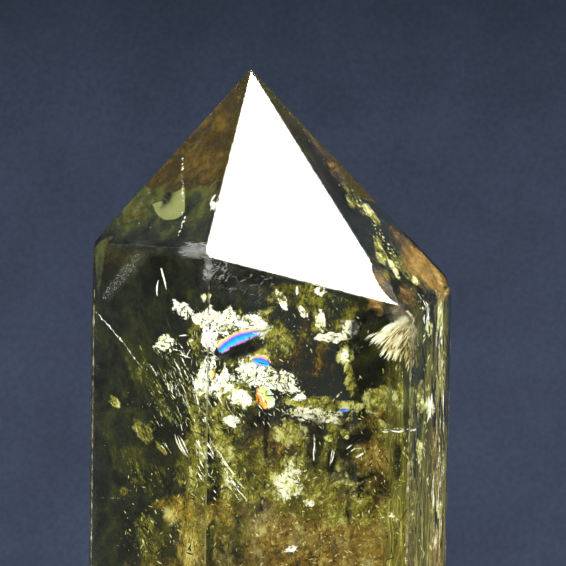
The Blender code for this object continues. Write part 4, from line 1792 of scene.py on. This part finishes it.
ZONES: tuple[type[Zone], ...] = (
    FrontBreaks,
    FrontGreens,
    FrontAmbers,
    FrontDarks,
    LeftBreaks,
    LeftGreens,
    LeftAmbers,
    Feathers,
    BrightSpecks,
    Splinters,
    TipLeftBreaks,
    TipGreens,
    TipAmbers,
    RightCurtains,
    RightGreens,
    Hazes,
    SlantingCrack,
    RainbowFilms,
    SunsetFilms,
    FanBreak,
    PalePocket,
    TipDarks,
    OliveShades,
    EdgeBruisesAndHighlights,
)


# ---------------------------------------------------------------- the studio


@dataclass(frozen=True)
class Softbox:
    """A square lamp, in metres but for what it is aimed at."""

    name: str
    aim: tuple[float, float, float]
    way: tuple[float, float, float]  # from what it is aimed at towards the lamp
    reach: float
    size: float
    glow: float  # radiance

    def build(self) -> None:
        """Makes the lamp, which shows only where a surface mirrors it."""
        data = bpy.data.lights.new(self.name, "AREA")
        data.shape = "SQUARE"
        data.size = self.size
        data.energy = self.glow * math.pi * self.size**2
        lamp = bpy.data.objects.new(self.name, data)
        way = Vector(self.way).normalized()
        lamp.location = Vector(self.aim) * MM + way * self.reach
        lamp.rotation_euler = way.to_track_quat("Z", "Y").to_euler()
        lamp.visible_camera = False
        lamp.visible_transmission = False
        bpy.context.scene.collection.objects.link(lamp)


@dataclass(frozen=True)
class Studio:
    """The floor, the still air round it and the lights, in metres."""

    floor_radius: float = 0.053
    floor_depth: float = 0.02
    floor_gap: float = 0.0002
    floor_colour: Colour = (0.80, 0.78, 0.74)
    floor_rough: float = 0.8
    floor_sides: int = 96
    slate: tuple[Stop, ...] = (
        (-1.0, (0.052, 0.067, 0.107)),
        (-0.200, (0.052, 0.067, 0.107)),
        (-0.155, (0.049, 0.063, 0.100)),
        (-0.120, (0.043, 0.056, 0.089)),
        (-0.095, (0.036, 0.047, 0.075)),
        (-0.074, (0.026, 0.035, 0.055)),
        (-0.040, (0.030, 0.040, 0.064)),
        (0.20, (0.042, 0.054, 0.089)),
        (1.0, (0.042, 0.054, 0.089)),
    )
    mottle: tuple[Span, ...] = ((60.0, 0.10), (900.0, 0.10))
    bounces: int = 16
    lamps: tuple[Softbox, ...] = (
        Softbox("tip_softbox", (-0.9, -10.3, 67.4), (0.501, -0.258, 0.826), 0.6, 0.17, 26.0),
        Softbox("left_softbox", (0.0, 0.0, 40.0), (-0.85, -0.25, 0.45), 0.7, 0.4, 4.0),
        Softbox("back_softbox", (0.0, 0.0, 40.0), (0.3, 0.8, 0.5), 0.7, 0.4, 4.0),
    )

    def build(self) -> None:
        """Makes the surroundings, the floor and the lamps."""
        scene = bpy.context.scene
        scene.view_settings.view_transform = "Standard"
        scene.cycles.glossy_bounces = self.bounces
        scene.cycles.transmission_bounces = self.bounces
        scene.cycles.max_bounces = self.bounces
        scene.world = self.air()
        self.floor()
        for lamp in self.lamps:
            lamp.build()

    def air(self) -> bpy.types.World:
        """Makes the surroundings: slate that lightens from the horizon down, faintly mottled like paper."""
        bench = Bench(bpy.data.worlds.new("still_air"))
        way = bench.add("TexCoord", {}).outputs["Generated"]
        rise = bench.add("SeparateXYZ", {0: way}).outputs["Z"]
        stops = tuple(((height + 1) / 2, colour) for height, colour in self.slate)
        paper = bench.ramp(bench.span(rise, -1.0, 1.0), stops)
        for scale, strength in self.mottle:
            noise = bench.noise(way, scale, 4.0, 0.5)
            shade = bench.span(noise.outputs[0], 0.3, 0.7, 1 - strength, 1 + strength)
            paper = bench.add("VectorMath", {0: paper, "Scale": shade}, operation="SCALE").outputs[0]
        bench.feed(bench.tree.nodes["Background"], {"Color": paper})
        return bench.owner

    def floor(self) -> None:
        """Makes the round pale floor that the stone stands on."""
        middle = -self.floor_depth / 2 - self.floor_gap
        size = {"vertices": self.floor_sides, "radius": self.floor_radius, "depth": self.floor_depth}
        bpy.ops.mesh.primitive_cylinder_add(location=(0.0, 0.0, middle), **size)
        made = bpy.context.object
        made.name = "floor"
        bench = Bench(bpy.data.materials.new("pale_floor"))
        bench.feed(bench.shader, {"Base Color": (*self.floor_colour, 1.0), "Roughness": self.floor_rough})
        made.data.materials.append(bench.owner)


def main() -> None:
    """Builds everything in order."""
    logging.basicConfig(level=logging.INFO, format="%(message)s")
    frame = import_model()
    form = CrystalForm()
    stone = frame["nodes"]["crystal_point"]
    stone.data.materials.clear()
    stone.data.materials.append(ClearQuartz().material(form))
    for zone in ZONES:
        zone().build()
    Portrait().build()
    Studio().build()


if __name__ == "__main__":
    main()
